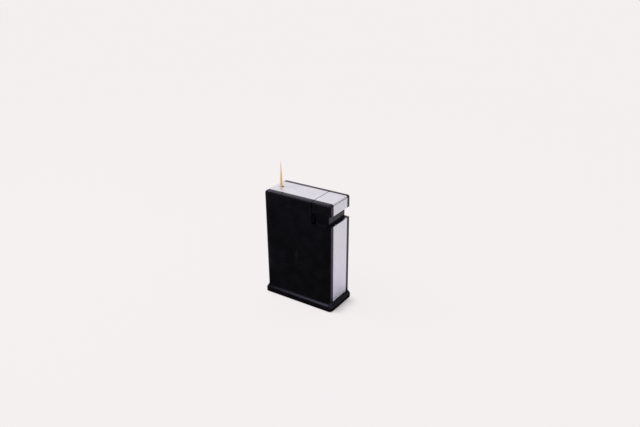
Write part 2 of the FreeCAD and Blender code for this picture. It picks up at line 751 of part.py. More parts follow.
shank_start = ("dims.pick_x", "dims.channel_half + dims.overlap", "dims.rivet_height")
shank_length = f"{LEAF_FAR} - dims.channel_half"
rivet_shank = rod("rivet_shank", "y", shank_start, shank_length, "dims.rivet_radius")
head_start = ("dims.pick_x", LEAF_FAR, "dims.rivet_height")
rivet_head = rod("rivet_head", "y", head_start, "dims.rivet_head_thick", "dims.rivet_head_radius")
retainer_rivet = fuse("retainer_rivet", [rivet_shank, rivet_head])

# --- lift: rocker, pins and lifter ----------------------------------------

rocker = new_body("rocker")
bar = [
    (f"-{REAR_ARM}", "-dims.rocker_tip"),
    ("0", "-dims.rocker_hub"),
    ("dims.front_arm", "-dims.rocker_tip"),
    ("dims.front_arm", "dims.rocker_tip"),
    ("0", "dims.rocker_hub"),
    (f"-{REAR_ARM}", "dims.rocker_tip"),
]
ROCKER_LEVEL = "-dims.rocker_near"
pad(rocker, outline(rocker, "XZ", ROCKER_LEVEL, bar), "dims.rocker_thick", True)
TIPS = [("dims.front_arm", "0"), (f"-{REAR_ARM}", "0")]
pad(rocker, circles(rocker, "XZ", ROCKER_LEVEL, TIPS, "dims.rocker_tip"), "dims.rocker_thick", True)
pin_holes = circles(rocker, "XZ", ROCKER_LEVEL, TIPS, "dims.link_pin_radius")
pocket(rocker, pin_holes, "dims.rocker_thick")
rocker_bore = circles(rocker, "XZ", ROCKER_LEVEL, [("0", "0")], "dims.pivot_radius + dims.pivot_play")
pocket(rocker, rocker_bore, "dims.rocker_thick")
rocker.Placement.Rotation = FreeCAD.Rotation(FreeCAD.Vector(0, -1, 0), 1)
rocker.setExpression("Placement.Rotation.Angle", TILT)
rocker.setExpression("Placement.Base.x", "dims.rocker_x")
rocker.setExpression("Placement.Base.z", "dims.rocker_height")

pivot_start = ("dims.rocker_x", "dims.hopper_far + dims.pivot_play", "dims.rocker_height")
pivot_length = f"{INNER_Y} - dims.play - dims.hopper_far"
rocker_pivot = rod("rocker_pivot", "y", pivot_start, pivot_length, "dims.pivot_radius")
washer_start = ("dims.rocker_x", "dims.hopper_far + dims.hopper_wall", "dims.rocker_height")
washer_thick = "dims.rocker_near - dims.hopper_far - dims.hopper_wall - dims.side_play"
washer_disc = rod("washer_disc", "y", washer_start, washer_thick, "dims.washer_radius")
washer_bore = rod("washer_bore", "y", washer_start, washer_thick, "dims.pivot_radius + dims.pivot_play")
rocker_washer = cut("rocker_washer", washer_disc, [washer_bore])

PIN_LENGTH = "dims.lug_far - dims.rocker_near - dims.side_play"
FRONT_PIN = (f"dims.rocker_x + dims.front_arm * cos({TILT})", f"dims.rocker_height + {RISE}")
REAR_PIN = (f"dims.rocker_x - {REAR_ARM} * cos({TILT})", f"dims.rocker_height - {RISE} * dims.lift_ratio")
front_start = (FRONT_PIN[0], "dims.rocker_near", FRONT_PIN[1])
front_link_pin = rod("front_link_pin", "y", front_start, PIN_LENGTH, "dims.link_pin_radius")
rear_start = (REAR_PIN[0], "dims.rocker_near", REAR_PIN[1])
rear_link_pin = rod("rear_link_pin", "y", rear_start, PIN_LENGTH, "dims.link_pin_radius")


def slotted_lug(name, lug_x, lug_z, near_end, far_end, height, play):
    """A plate in the lug plane with a level slot for a link pin."""
    plate = block(f"{name}_plate", lug_x, ("dims.lug_near", "dims.lug_far"), lug_z)
    half = f"(dims.link_pin_radius + {play})"
    slot_near, slot_far = "dims.lug_near - dims.overrun", "dims.lug_far + dims.overrun"
    middle = block(
        f"{name}_slot",
        (near_end, far_end),
        (slot_near, slot_far),
        (f"{height} - {half}", f"{height} + {half}"),
    )
    slot_depth = f"{slot_far} - ({slot_near})"
    ends = [
        rod(f"{name}_slot_end_{place}", "y", (across, slot_near, height), slot_depth, half)
        for place, across in enumerate((near_end, far_end))
    ]
    return cut(name, plate, [middle] + ends)


BACKBONE_X = (f"-{INNER_X} + dims.wide_play", f"{CHANNEL_END} - dims.play")
SEAT_Y = ("-dims.channel_half + dims.play", "dims.channel_half - dims.play")
LUG_LOW = f"{REAR_PIN[1]} - dims.lug_half_height"
BRIDGE_TOP = f"{REAR_PIN[1]} + dims.bridge_rise"
BACKBONE_LOW = "dims.spigot_top + dims.wide_play"
seat_blade = block(
    "seat_blade",
    ("dims.channel_back + dims.play", "dims.channel_front - dims.play"),
    SEAT_Y,
    ("dims.lifter_foot", "dims.seat_height"),
)
seat_web = block(
    "seat_web",
    (BACKBONE_X[1], "dims.channel_back + dims.play"),
    ("-dims.web_slot_half + dims.play", "dims.web_slot_half - dims.play"),
    (BACKBONE_LOW, "dims.seat_height"),
)
backbone_y = ("-dims.backbone_half", "dims.backbone_half")
backbone = block("backbone", BACKBONE_X, backbone_y, (BACKBONE_LOW, BRIDGE_TOP))
bridge = block("bridge", BACKBONE_X, ("0", "dims.lug_far"), (LUG_LOW, BRIDGE_TOP))
rear_lug = slotted_lug(
    "rear_lug",
    (BACKBONE_X[0], f"{REAR_PIN[0]} + dims.lug_end"),
    (LUG_LOW, f"{REAR_PIN[1]} + dims.lug_half_height"),
    f"dims.rocker_x - {REAR_ARM} - dims.overlap",
    f"{REAR_PIN[0]} + dims.overlap",
    REAR_PIN[1],
    "dims.rear_slot_play",
)
lifter_blank = fuse("lifter_blank", [seat_blade, seat_web, backbone, bridge, rear_lug])
seat_cup = doc.addObject("Part::Cone", "seat_cup")
seat_cup.Radius1 = 0
seat_cup.setExpression("Radius2", "dims.pick_radius")
seat_cup.setExpression("Height", "dims.pick_radius")
seat_cup.setExpression("Placement.Base.x", "dims.pick_x")
seat_cup.setExpression("Placement.Base.z", "dims.seat_height - dims.pick_radius + dims.cup_lift")
lifter = cut("lifter", lifter_blank, [seat_cup])

# --- button ---------------------------------------------------------------

button_cap = new_body("button_cap")


def cap_outline(inset):
    front = f"{HALF_LENGTH} - {inset}"
    return rectangle((BUTTON_BACK, front), ("dims.button_bottom", f"dims.total_height - {inset}"))


core_sketch = outline(button_cap, "XZ", "0", cap_outline("dims.band_thick"))
pad(button_cap, core_sketch, f"2 * {HALF_CORE}", midplane=True)
near_cheek = outline(button_cap, "XZ", HALF_CORE, cap_outline("0"))
pad(button_cap, near_cheek, "dims.rim_width")
far_cheek = outline(button_cap, "XZ", f"-({HALF_DEPTH})", cap_outline("0"))
pad(button_cap, far_cheek, "dims.rim_width")
front_face, top_face = number(HALF_LENGTH), number("dims.total_height")
side_face = number(HALF_DEPTH)
button_low, button_back = number("dims.button_bottom"), number(BUTTON_BACK)
fillet(button_cap, "dims.button_round", lambda edge: edge_at(edge, x=front_face, z=top_face))
core_front, core_top = front_face - band_thick, top_face - band_thick
CORE_ROUND = "dims.button_round - dims.band_thick"
fillet(button_cap, CORE_ROUND, lambda edge: edge_at(edge, x=core_front, z=core_top))


def cheek_edge(edge):
    on_side = edge_at(edge, y=side_face) or edge_at(edge, y=-side_face)
    return on_side and not edge_at(edge, x=button_back) and not edge_at(edge, z=button_low)


def cheek_low_edge(edge):
    return edge_at(edge, z=button_low, y=side_face) or edge_at(edge, z=button_low, y=-side_face)


fillet(button_cap, "dims.rim_round", cheek_edge)
fillet(button_cap, "dims.notch_round", cheek_low_edge)
PLUNGER_X = ("dims.plunger_back", "dims.plunger_front")
PLUNGER_Y = ("-dims.plunger_half", "dims.plunger_half")
socket = outline(button_cap, "XY", "dims.button_bottom", rectangle(PLUNGER_X, PLUNGER_Y))
pocket(button_cap, socket, "dims.cap_roof - dims.button_bottom", True)
plunger_front, plunger_half = number("dims.plunger_front"), number("dims.plunger_half")


def plunger_corner(edge):
    return any(edge_at(edge, x=plunger_front, y=side * plunger_half) for side in (-1, 1))


fillet(button_cap, "dims.plunger_round", plunger_corner)

button_plate = new_body("button_plate")
plate_profile = [
    (BUTTON_BACK, "dims.total_height - dims.band_thick"),
    (f"{HALF_LENGTH} - dims.band_thick", "dims.total_height - dims.band_thick"),
    (f"{HALF_LENGTH} - dims.band_thick", "dims.button_bottom"),
    (HALF_LENGTH, "dims.button_bottom"),
    (HALF_LENGTH, "dims.total_height"),
    (BUTTON_BACK, "dims.total_height"),
]
pad(button_plate, outline(button_plate, "XZ", "0", plate_profile), f"2 * {HALF_BAND}", midplane=True)
fillet(button_plate, "dims.button_round", lambda edge: edge_at(edge, x=front_face, z=top_face))
fillet(button_plate, CORE_ROUND, lambda edge: edge_at(edge, x=core_front, z=core_top))

skirt = new_body("skirt")
skirt_base = outline(skirt, "XY", "dims.plunger_bottom", rectangle(PLUNGER_X, PLUNGER_Y))
pad(skirt, skirt_base, "dims.cap_roof - dims.plunger_bottom")
fillet(skirt, "dims.plunger_round", plunger_corner)
skirt_hollow = block(
    "skirt_hollow",
    ("dims.plunger_back + dims.plunger_wall", "dims.plunger_front - dims.plunger_wall"),
    ("-dims.plunger_half + dims.plunger_wall", "dims.plunger_half - dims.plunger_wall"),
    ("dims.plunger_bottom - dims.overrun", "dims.cap_roof - dims.plunger_wall"),
)
open_skirt = cut("open_skirt", skirt, [skirt_hollow])
stop_hook = block(
    "stop_hook",
    ("dims.chassis_back + 2 * dims.play", "dims.plunger_back + dims.overlap"),
    ("-dims.hook_half", "dims.hook_half"),
    ("dims.plunger_bottom", "dims.plunger_bottom + dims.hook_thick"),
)
front_lug = slotted_lug(
    "front_lug",
    (f"{FRONT_PIN[0]} - dims.lug_end", "dims.rocker_x + dims.front_arm + dims.lug_end"),
    (f"{FRONT_PIN[1]} - dims.lug_end", "dims.plunger_bottom + dims.hook_thick"),
    f"{FRONT_PIN[0]} - dims.overlap",
    "dims.rocker_x + dims.front_arm + dims.overlap",
    FRONT_PIN[1],
    "dims.front_slot_play",
)
plunger = fuse("plunger", [open_skirt, stop_hook, front_lug])

# --- chassis and spring ---------------------------------------------------

PLATE_X = ("dims.chassis_back", "dims.chassis_back + dims.chassis_plate")
FLANGE_Y = ("dims.flange_near", "dims.flange_far")
NARROW_Y = ("-dims.plunger_half", "dims.chassis_far")
lower_plate = block("lower_plate", PLATE_X, NARROW_Y, ("dims.chassis_low", "dims.chassis_wide_low"))
upper_plate = block("upper_plate", PLATE_X, PLUNGER_Y, ("dims.chassis_wide_low", "dims.chassis_top"))
shelf_x = (PLATE_X[0], f"{INNER_X} - dims.wide_play")
spring_shelf = block("spring_shelf", shelf_x, NARROW_Y, ("dims.shelf_bottom", "dims.shelf_top"))
flange_x = (PLATE_X[0], "dims.flange_front")
side_flange = block("side_flange", flange_x, FLANGE_Y, ("dims.flange_low", "dims.shelf_top"))
shelf_rib = block(
    "shelf_rib",
    flange_x,
    ("dims.shelf_rib_y", "dims.shelf_rib_y + dims.chassis_plate"),
    ("dims.shelf_rib_low", "dims.shelf_top"),
)
post_start = ("dims.spring_x", "dims.spring_y", "dims.shelf_bottom")
spring_post = rod("spring_post", "z", post_start, "dims.post_top - dims.shelf_bottom", "dims.post_radius")
chassis_blank = fuse(
    "chassis_blank",
    [lower_plate, upper_plate, spring_shelf, side_flange, shelf_rib, spring_post],
)
stop_window = block(
    "stop_window",
    ("dims.chassis_back - dims.overrun", "dims.plunger_back + dims.overrun"),
    ("-dims.hook_half - dims.window_play", "dims.hook_half + dims.window_play"),
    ("dims.shelf_top", "dims.plunger_bottom + dims.hook_thick + dims.stop_play"),
)
flange_holes = [
    rod(
        f"flange_hole_{place}",
        "y",
        (across, "dims.flange_near - dims.overrun", height),
        "dims.flange_far - dims.flange_near + 2 * dims.overrun",
        "dims.screw_radius + dims.side_play",
    )
    for place, (across, height) in enumerate(CHASSIS_SCREWS)
]
chassis = cut("chassis", chassis_blank, [stop_window] + flange_holes)


def chassis_screw(place, across, height):
    head_start = (across, "dims.flange_far", height)
    head_size = ("dims.chassis_head_thick", "dims.screw_head_radius")
    head = rod(f"chassis_head_{place}", "y", head_start, *head_size)
    shank_start = (across, "dims.flange_near - dims.screw_bite", height)
    shank_length = "dims.flange_far - dims.flange_near + dims.screw_bite + dims.overlap"
    shank = rod(f"chassis_shank_{place}", "y", shank_start, shank_length, "dims.screw_radius")
    return fuse(f"chassis_screw_{place}", [head, shank])


chassis_screws = group(
    "chassis_screws",
    [chassis_screw(place, *spot) for place, spot in enumerate(CHASSIS_SCREWS)],
)

return_spring = new_body("return_spring")
wire_centre = [("dims.spring_radius", "dims.spring_wire / 2")]
wire = circles(return_spring, "XZ", "0", wire_centre, "dims.spring_wire / 2")
doc.recompute()
coil = return_spring.newObject("PartDesign::AdditiveHelix", "return_spring_coil")
coil.Profile = wire
coil.ReferenceAxis = (wire, ["V_Axis"])
coil.Mode = "height-turns-angle"
coil.Angle = 0
coil.setExpression("Turns", "dims.spring_turns")
SPRING_ROOM = "dims.cap_roof - dims.plunger_wall - dims.shelf_top - 2 * dims.spring_play"
coil.setExpression("Height", f"{SPRING_ROOM} - dims.spring_wire")
return_spring.setExpression("Placement.Base.x", "dims.spring_x")
return_spring.setExpression("Placement.Base.y", "dims.spring_y")
return_spring.setExpression("Placement.Base.z", "dims.shelf_top + dims.spring_play")

# --- check and write ------------------------------------------------------

# Each node with the number of separate solids that it holds.
PIECES = {
    side_shell_near: 1,
    side_shell_far: 1,
    top_band: 1,
    front_panel: 1,
    foot: 1,
    foot_pads: 4,
    foot_screws: 4,
    hopper: 1,
    refill_plug: 1,
    plug_catch: 1,
    toothpick: 1,
    pick_guide: 1,
    pick_retainer: 1,
    retainer_rivet: 1,
    rocker: 1,
    rocker_pivot: 1,
    rocker_washer: 1,
    front_link_pin: 1,
    rear_link_pin: 1,
    lifter: 1,
    button_cap: 1,
    button_plate: 1,
    plunger: 1,
    chassis: 1,
    chassis_screws: 2,
    return_spring: 1,
}

doc.recompute()
for item in doc.Objects:
    if "Invalid" in item.State or "Error" in item.State:
        raise RuntimeError(f"{item.Name} failed: {item.State}")

os.makedirs("parts", exist_ok=True)
for piece, solids in PIECES.items():
    shape = piece.Shape
    if shape.isNull() or not shape.isValid():
        raise RuntimeError(f"{piece.Label} has no valid shape")
    if len(shape.Solids) != solids:
        raise RuntimeError(f"{piece.Label} has {len(shape.Solids)} solids instead of {solids}")
    shape.exportStep(f"parts/{piece.Label}.step")
    print(f"{piece.Label}: {shape.Volume:.1f} mm3")
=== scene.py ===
import math

import bmesh
import bpy
from mathutils import Matrix, Vector


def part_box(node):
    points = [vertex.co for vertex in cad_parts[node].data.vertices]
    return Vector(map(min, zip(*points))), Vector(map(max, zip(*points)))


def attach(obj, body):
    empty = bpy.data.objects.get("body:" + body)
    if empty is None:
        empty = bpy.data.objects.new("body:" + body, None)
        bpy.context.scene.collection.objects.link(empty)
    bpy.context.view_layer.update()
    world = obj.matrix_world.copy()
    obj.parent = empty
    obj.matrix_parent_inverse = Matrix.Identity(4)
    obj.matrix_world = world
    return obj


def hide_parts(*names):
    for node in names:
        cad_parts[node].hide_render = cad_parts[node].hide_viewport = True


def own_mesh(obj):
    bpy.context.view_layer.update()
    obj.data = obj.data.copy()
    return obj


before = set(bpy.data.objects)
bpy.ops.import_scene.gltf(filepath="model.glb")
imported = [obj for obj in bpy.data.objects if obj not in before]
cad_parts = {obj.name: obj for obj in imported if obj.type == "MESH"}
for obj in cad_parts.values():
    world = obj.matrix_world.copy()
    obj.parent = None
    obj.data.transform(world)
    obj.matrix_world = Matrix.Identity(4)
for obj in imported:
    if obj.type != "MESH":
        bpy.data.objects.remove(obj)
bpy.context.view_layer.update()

print("frame loaded")

# shared places of the case, in metres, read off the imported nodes
panelLow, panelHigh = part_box("front_panel")
bandLow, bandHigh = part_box("top_band")
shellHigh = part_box("side_shell_far")[1]
capLow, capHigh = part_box("button_cap")
plateLow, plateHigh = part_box("button_plate")
guideLow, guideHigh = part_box("pick_guide")
guideMiddle, guideRadius = ((guideHigh.x + guideLow.x) / 2, 0), (guideHigh.x - guideLow.x) / 2
panelGap = 0.0001  # between the foot and the front strip
caseSize = {
    "back": bandLow.x,
    "front": panelHigh.x,
    "side": shellHigh.y,
    "top": bandHigh.z,
    "seam": bandHigh.x,
    "ledge": panelHigh.z,
    "footTop": panelLow.z - panelGap,
    "rimWidth": 0.0044,
    "bandThick": 0.001,
    "wall": 0.0018,
    "backRound": 0.0025,
    "buttonRound": 0.002,
}
innerX = caseSize["front"] - caseSize["bandThick"] - caseSize["wall"]
innerY = caseSize["side"] - caseSize["wall"]
innerTop = caseSize["top"] - caseSize["bandThick"] - caseSize["wall"]
coreY = caseSize["side"] - caseSize["rimWidth"]
coreSink = 0.0006  # how far the middle of the case runs into the cheeks
overrun = 0.001  # how far a cutter runs past the face that it opens
sink = 0.0003  # how far a joined piece runs into the next
fullRound = 0.999  # round ends stay a hair short of a half circle
sameCorner, sameLevel = 0.000001, 0.00001
fineSides, plainSides, smallSides = 48, 32, 24  # of round shapes
softenAngle, creaseAngle = 40, 32  # edges sharper than this are rounded, or shaded sharp


# mesh tools

def place(u, v, level, axis):
    return Vector((u, level, v)) if axis == "y" else Vector((u, v, level))


def softCorners(corners, steps=8):
    points = []
    for index, (u, v, turn) in enumerate(corners):
        here = Vector((u, v))
        if turn <= 0:
            points.append(here)
            continue
        toBefore = (Vector(corners[index - 1][:2]) - here).normalized()
        toAfter = (Vector(corners[(index + 1) % len(corners)][:2]) - here).normalized()
        half = toBefore.angle(toAfter) / 2
        centre = here + (toBefore + toAfter).normalized() * (turn / math.sin(half))
        start = here + toBefore * (turn / math.tan(half)) - centre
        finish = here + toAfter * (turn / math.tan(half)) - centre
        first = math.atan2(start.y, start.x)
        sweep = math.atan2(finish.y, finish.x) - first
        sweep = (sweep + math.pi) % (2 * math.pi) - math.pi  # the short way round
        for step in range(steps + 1):
            angle = first + sweep * step / steps
            points.append(centre + Vector((math.cos(angle), math.sin(angle))) * turn)
    return points


def roundedBox(halfX, halfY, turn, middle=(0, 0), steps=8):
    x, y = middle
    corners = [
        (x + halfX, y + halfY, turn),
        (x - halfX, y + halfY, turn),
        (x - halfX, y - halfY, turn),
        (x + halfX, y - halfY, turn),
    ]
    return softCorners(corners, steps)


def circlePoints(radius, count, middle=(0, 0)):
    x, y = middle
    turns = [2 * math.pi * index / count for index in range(count)]
    return [Vector((x + radius * math.cos(turn), y + radius * math.sin(turn))) for turn in turns]


def addPrism(bm, points, low, high, axis="y"):
    lowLoop = [bm.verts.new(place(u, v, low, axis)) for u, v in points]
    highLoop = [bm.verts.new(place(u, v, high, axis)) for u, v in points]
    bm.faces.new(lowLoop)
    bm.faces.new(reversed(highLoop))
    for index in range(len(points)):
        after = (index + 1) % len(points)
        bm.faces.new((lowLoop[after], lowLoop[index], highLoop[index], highLoop[after]))


def addRings(bm, rings, closeEnds=True):
    loops = [[bm.verts.new(point) for point in ring] for ring in rings]
    for first, second in zip(loops, loops[1:]):
        for index in range(len(first)):
            after = (index + 1) % len(first)
            bm.faces.new((first[index], first[after], second[after], second[index]))
    if closeEnds:
        bm.faces.new(reversed(loops[0]))
        bm.faces.new(loops[-1])


def both(a, b, **levels):  # both ends of an edge lie at the levels
    gaps = [getattr(point, axis) - level for axis, level in levels.items() for point in (a, b)]
    return all(abs(gap) < sameLevel for gap in gaps)


def makePiece(name, bm):
    bmesh.ops.recalc_face_normals(bm, faces=bm.faces)
    mesh = bpy.data.meshes.new(name)
    bm.to_mesh(mesh)
    bm.free()
    piece = bpy.data.objects.new(name, mesh)
    bpy.context.scene.collection.objects.link(piece)
    return piece


def settle(piece):
    bpy.context.view_layer.update()
    graph = bpy.context.evaluated_depsgraph_get()
    mesh = bpy.data.meshes.new_from_object(piece.evaluated_get(graph))
    piece.modifiers.clear()
    piece.data = mesh


def roundEdges(piece, width, steps, limit="ANGLE"):
    modifier = piece.modifiers.new("soften", "BEVEL")
    modifier.limit_method = limit
    modifier.angle_limit = math.radians(softenAngle)
    modifier.use_clamp_overlap = limit == "ANGLE"
    modifier.width = width
    modifier.segments = steps
    settle(piece)


def combine(piece, tool, how):
    modifier = piece.modifiers.new("combine", "BOOLEAN")
    modifier.operation = how
    modifier.solver = "EXACT"
    modifier.object = tool
    settle(piece)
    bpy.data.objects.remove(tool, do_unlink=True)


def carve(piece, *tools):
    for tool in tools:
        combine(piece, tool, "DIFFERENCE")


def weld(piece, *tools):
    for tool in tools:
        combine(piece, tool, "UNION")


def lathePiece(name, profile, count, middles, closeEnds=True):  # turned about upright lines
    bm = bmesh.new()
    for middle in middles:
        rings = []
        for radius, level in profile:
            rings.append([Vector((u, v, level)) for u, v in circlePoints(radius, count, middle)])
        addRings(bm, rings, closeEnds)
    if not closeEnds:  # the profile ends where it starts
        bmesh.ops.remove_doubles(bm, verts=bm.verts, dist=sameCorner)
    return makePiece(name, bm)


def prismPiece(name, points, low, high, axis="y"):
    bm = bmesh.new()
    addPrism(bm, points, low, high, axis)
    return makePiece(name, bm)


def rodPiece(name, radius, count, middle, low, high, axis="z"):
    return prismPiece(name, circlePoints(radius, count, middle), low, high, axis)


def boxPiece(name, low, high):
    points = [(low[0], low[1]), (high[0], low[1]), (high[0], high[1]), (low[0], high[1])]
    return prismPiece(name, points, low[2], high[2], "z")


def rimmedCheek(name, corners, side, wide, narrow, narrowRims, sharpRims=()):
    face = side * caseSize["side"]
    bm = bmesh.new()
    addPrism(bm, softCorners(corners), side * coreY, face)
    layer = bm.edges.layers.float.new("bevel_weight_edge")
    for edge in bm.edges:
        a, b = (vert.co for vert in edge.verts)
        if not both(a, b, y=face) or any(both(a, b, **rim) for rim in sharpRims):
            continue
        edge[layer] = narrow / wide if any(both(a, b, **rim) for rim in narrowRims) else 1
    cheek = makePiece(name, bm)
    roundEdges(cheek, wide, steps=6, limit="WEIGHT")
    return cheek


def finishSurface(piece, slot, body, nodes, sharpAngle=creaseAngle):
    mesh = piece.data
    bm = bmesh.new()
    bm.from_mesh(mesh)
    bmesh.ops.dissolve_degenerate(bm, dist=sameCorner, edges=bm.edges)  # slivers left by the cuts
    bm.to_mesh(mesh)
    bm.free()
    for polygon in mesh.polygons:
        polygon.use_smooth = True
    mesh.set_sharp_from_angle(angle=math.radians(sharpAngle))
    modifier = piece.modifiers.new("evenShading", "WEIGHTED_NORMAL")
    modifier.keep_sharp = True
    mesh.materials.clear()
    mesh.materials.append(finishes[slot])
    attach(piece, body)
    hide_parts(*nodes)


# material tools

def newMaterial(name, **values):
    material = bpy.data.materials.new(name)
    material.use_nodes = True
    tree = material.node_tree
    tree.nodes.clear()
    output = tree.nodes.new("ShaderNodeOutputMaterial")
    shader = tree.nodes.new("ShaderNodeBsdfPrincipled")
    tree.links.new(shader.outputs["BSDF"], output.inputs["Surface"])
    for socket, value in values.items():
        shader.inputs[socket.replace("_", " ")].default_value = value
    return material, tree, shader


def objectPosition(tree, stretch=(1, 1, 1), turn=(0, 0, 0)):
    coordinates = tree.nodes.new("ShaderNodeTexCoord")
    mapping = tree.nodes.new("ShaderNodeMapping")
    mapping.inputs["Scale"].default_value = stretch
    mapping.inputs["Rotation"].default_value = turn
    tree.links.new(coordinates.outputs["Object"], mapping.inputs["Vector"])
    return mapping.outputs["Vector"]


def noise(tree, position, scale, detail=3, roughness=0.5):
    texture = tree.nodes.new("ShaderNodeTexNoise")
    texture.inputs["Scale"].default_value = scale
    texture.inputs["Detail"].default_value = detail
    texture.inputs["Roughness"].default_value = roughness
    tree.links.new(position, texture.inputs["Vector"])
    return texture.outputs["Fac"]


def spread(tree, value, low, high, start=0.35, end=0.65):
    limits = tree.nodes.new("ShaderNodeMapRange")
    limits.inputs["From Min"].default_value = start
    limits.inputs["From Max"].default_value = end
    limits.inputs["To Min"].default_value = low
    limits.inputs["To Max"].default_value = high
    tree.links.new(value, limits.inputs["Value"])
    return limits.outputs["Result"]


def tint(tree, value, dark, light, start=0.35, end=0.65):
    ramp = tree.nodes.new("ShaderNodeValToRGB")
    ramp.color_ramp.elements[0].position = start
    ramp.color_ramp.elements[1].position = end
    ramp.color_ramp.elements[0].color = (*dark, 1)
    ramp.color_ramp.elements[1].color = (*light, 1)
    tree.links.new(value, ramp.inputs["Fac"])
    return ramp.outputs["Color"]


def calculate(tree, operation, *values):
    step = tree.nodes.new("ShaderNodeMath")
    step.operation = operation
    for socket, value in zip(step.inputs, values):
        if isinstance(value, bpy.types.NodeSocket):
            tree.links.new(value, socket)
        else:
            socket.default_value = value
    return step.outputs["Value"]


def addValues(tree, first, second, share=1):
    return calculate(tree, "MULTIPLY_ADD", second, share, first)


def relief(tree, shader, height, strength, depth):
    bump = tree.nodes.new("ShaderNodeBump")
    bump.inputs["Strength"].default_value = strength
    bump.inputs["Distance"].default_value = depth
    tree.links.new(height, bump.inputs["Height"])
    tree.links.new(bump.outputs["Normal"], shader.inputs["Normal"])


def paint(tree, shader, colour, roughness):
    tree.links.new(colour, shader.inputs["Base Color"])
    tree.links.new(roughness, shader.inputs["Roughness"])


finishSettings = {  # darkest and palest colour, smoothest and roughest spots
    "polishedBlack": ((0.0028, 0.0026, 0.0034), (0.0044, 0.0041, 0.0052), (0.165, 0.215)),
    "satinSilver": ((0.73, 0.735, 0.805), (0.778, 0.783, 0.85), (0.36, 0.42)),
    "mouldedBlack": ((0.009, 0.009, 0.0105), (0.015, 0.015, 0.017), (0.4, 0.52)),
    "acetalWhite": ((0.7, 0.69, 0.63), (0.8, 0.79, 0.74), (0.3, 0.42)),
    "turnedSteel": ((0.5, 0.5, 0.52), (0.62, 0.62, 0.63), (0.24, 0.36)),
    "springWire": ((0.42, 0.42, 0.44), (0.58, 0.58, 0.6), (0.22, 0.34)),
    "birchWood": ((0.66, 0.44, 0.19), (0.86, 0.63, 0.31), (0.5, 0.66)),
    "softRubber": ((0.018, 0.018, 0.018), (0.03, 0.03, 0.03), (0.62, 0.8)),
    "glossTint": (0.72, 0.67, 1, 1),
    # pale colour of the painted glow on the pick's upper end
    "tipGlowColour": (0.9, 0.7, 0.56, 1),
    "tipGlowLevels": (0.104, 0.119),  # where the painted glow starts to pale the pick, and where it is palest
    "tipGlowShare": 0.75,
}


def polishedBlack():  # mirror gloss with faint waves and hairlines
    dark, pale, polish = finishSettings["polishedBlack"]
    gloss = {"Specular_IOR_Level": 0.26, "Specular_Tint": finishSettings["glossTint"]}
    material, tree, shader = newMaterial("polishedBlack", **gloss)
    position = objectPosition(tree)
    cloud = noise(tree, position, scale=90)
    wave = noise(tree, position, scale=520, detail=2)
    slanted = objectPosition(tree, stretch=(1, 1, 0.04), turn=(0, 0.35, 0))
    hairline = noise(tree, slanted, scale=2600, detail=2)
    scratch = spread(tree, hairline, low=0, high=0.07, start=0.6, end=0.75)
    roughness = addValues(tree, spread(tree, cloud, *polish), scratch)
    paint(tree, shader, tint(tree, cloud, dark, pale), roughness)
    relief(tree, shader, wave, strength=0.12, depth=0.00004)
    return material


def satinSilver():  # fine grain with streaks along the strip
    dark, pale, polish = finishSettings["satinSilver"]
    material, tree, shader = newMaterial("satinSilver", Metallic=1)
    position = objectPosition(tree)
    cloud = noise(tree, position, scale=60)
    grain = noise(tree, position, scale=5200, detail=2)
    streak = noise(tree, objectPosition(tree, stretch=(0.05, 1, 0.05)), scale=3600, detail=2)
    roughness = addValues(tree, spread(tree, cloud, *polish), spread(tree, streak, low=0, high=0.06))
    paint(tree, shader, tint(tree, cloud, dark, pale), roughness)
    relief(tree, shader, addValues(tree, grain, streak, share=0.6), strength=0.16, depth=0.00003)
    return material


def mouldedBlack():
    dark, pale, polish = finishSettings["mouldedBlack"]
    material, tree, shader = newMaterial("mouldedBlack", Specular_IOR_Level=0.3)
    position = objectPosition(tree)
    cloud = noise(tree, position, scale=150)
    paint(tree, shader, tint(tree, cloud, dark, pale), spread(tree, cloud, *polish))
    relief(tree, shader, noise(tree, position, scale=3800), strength=0.3, depth=0.00006)
    return material


def birchWood():  # long fibres, and the upper end painted paler as a glow of bright light
    dark, pale, polish = finishSettings["birchWood"]
    material, tree, shader = newMaterial("birchWood", Specular_IOR_Level=0.3)
    fibre = noise(tree, objectPosition(tree, stretch=(1, 1, 0.035)), scale=2600, detail=4, roughness=0.6)
    cloud = noise(tree, objectPosition(tree, stretch=(1, 1, 0.3)), scale=160)
    split = tree.nodes.new("ShaderNodeSeparateXYZ")
    tree.links.new(objectPosition(tree), split.inputs[0])
    # painted glow: the upper end is mixed towards a pale colour, standing in for bright light spreading over
    # the thin pick
    tipGlowMix = tree.nodes.new("ShaderNodeMix")
    tipGlowMix.data_type = "RGBA"
    tipGlowAmount = spread(tree, split.outputs["Z"], 0, finishSettings["tipGlowShare"], *finishSettings["tipGlowLevels"])
    tree.links.new(tipGlowAmount, tipGlowMix.inputs["Factor"])
    figure = addValues(tree, fibre, cloud, share=0.5)
    tree.links.new(tint(tree, figure, dark, pale, start=0.55, end=0.95), tipGlowMix.inputs["A"])
    tipGlowMix.inputs["B"].default_value = finishSettings["tipGlowColour"]
    paint(tree, shader, tipGlowMix.outputs["Result"], spread(tree, fibre, *polish))
    relief(tree, shader, fibre, strength=0.35, depth=0.00006)
    return material


def grainedFinish(name, cloud, grain, strength, depth, stretch=(1, 1, 1), detail=3, **values):
    dark, pale, polish = finishSettings[name]
    material, tree, shader = newMaterial(name, **values)
    clouds = noise(tree, objectPosition(tree), cloud)
    fibres = noise(tree, objectPosition(tree, stretch), grain, detail)
    paint(tree, shader, tint(tree, clouds, dark, pale), spread(tree, fibres, *polish))
    relief(tree, shader, fibres, strength, depth)
    return material


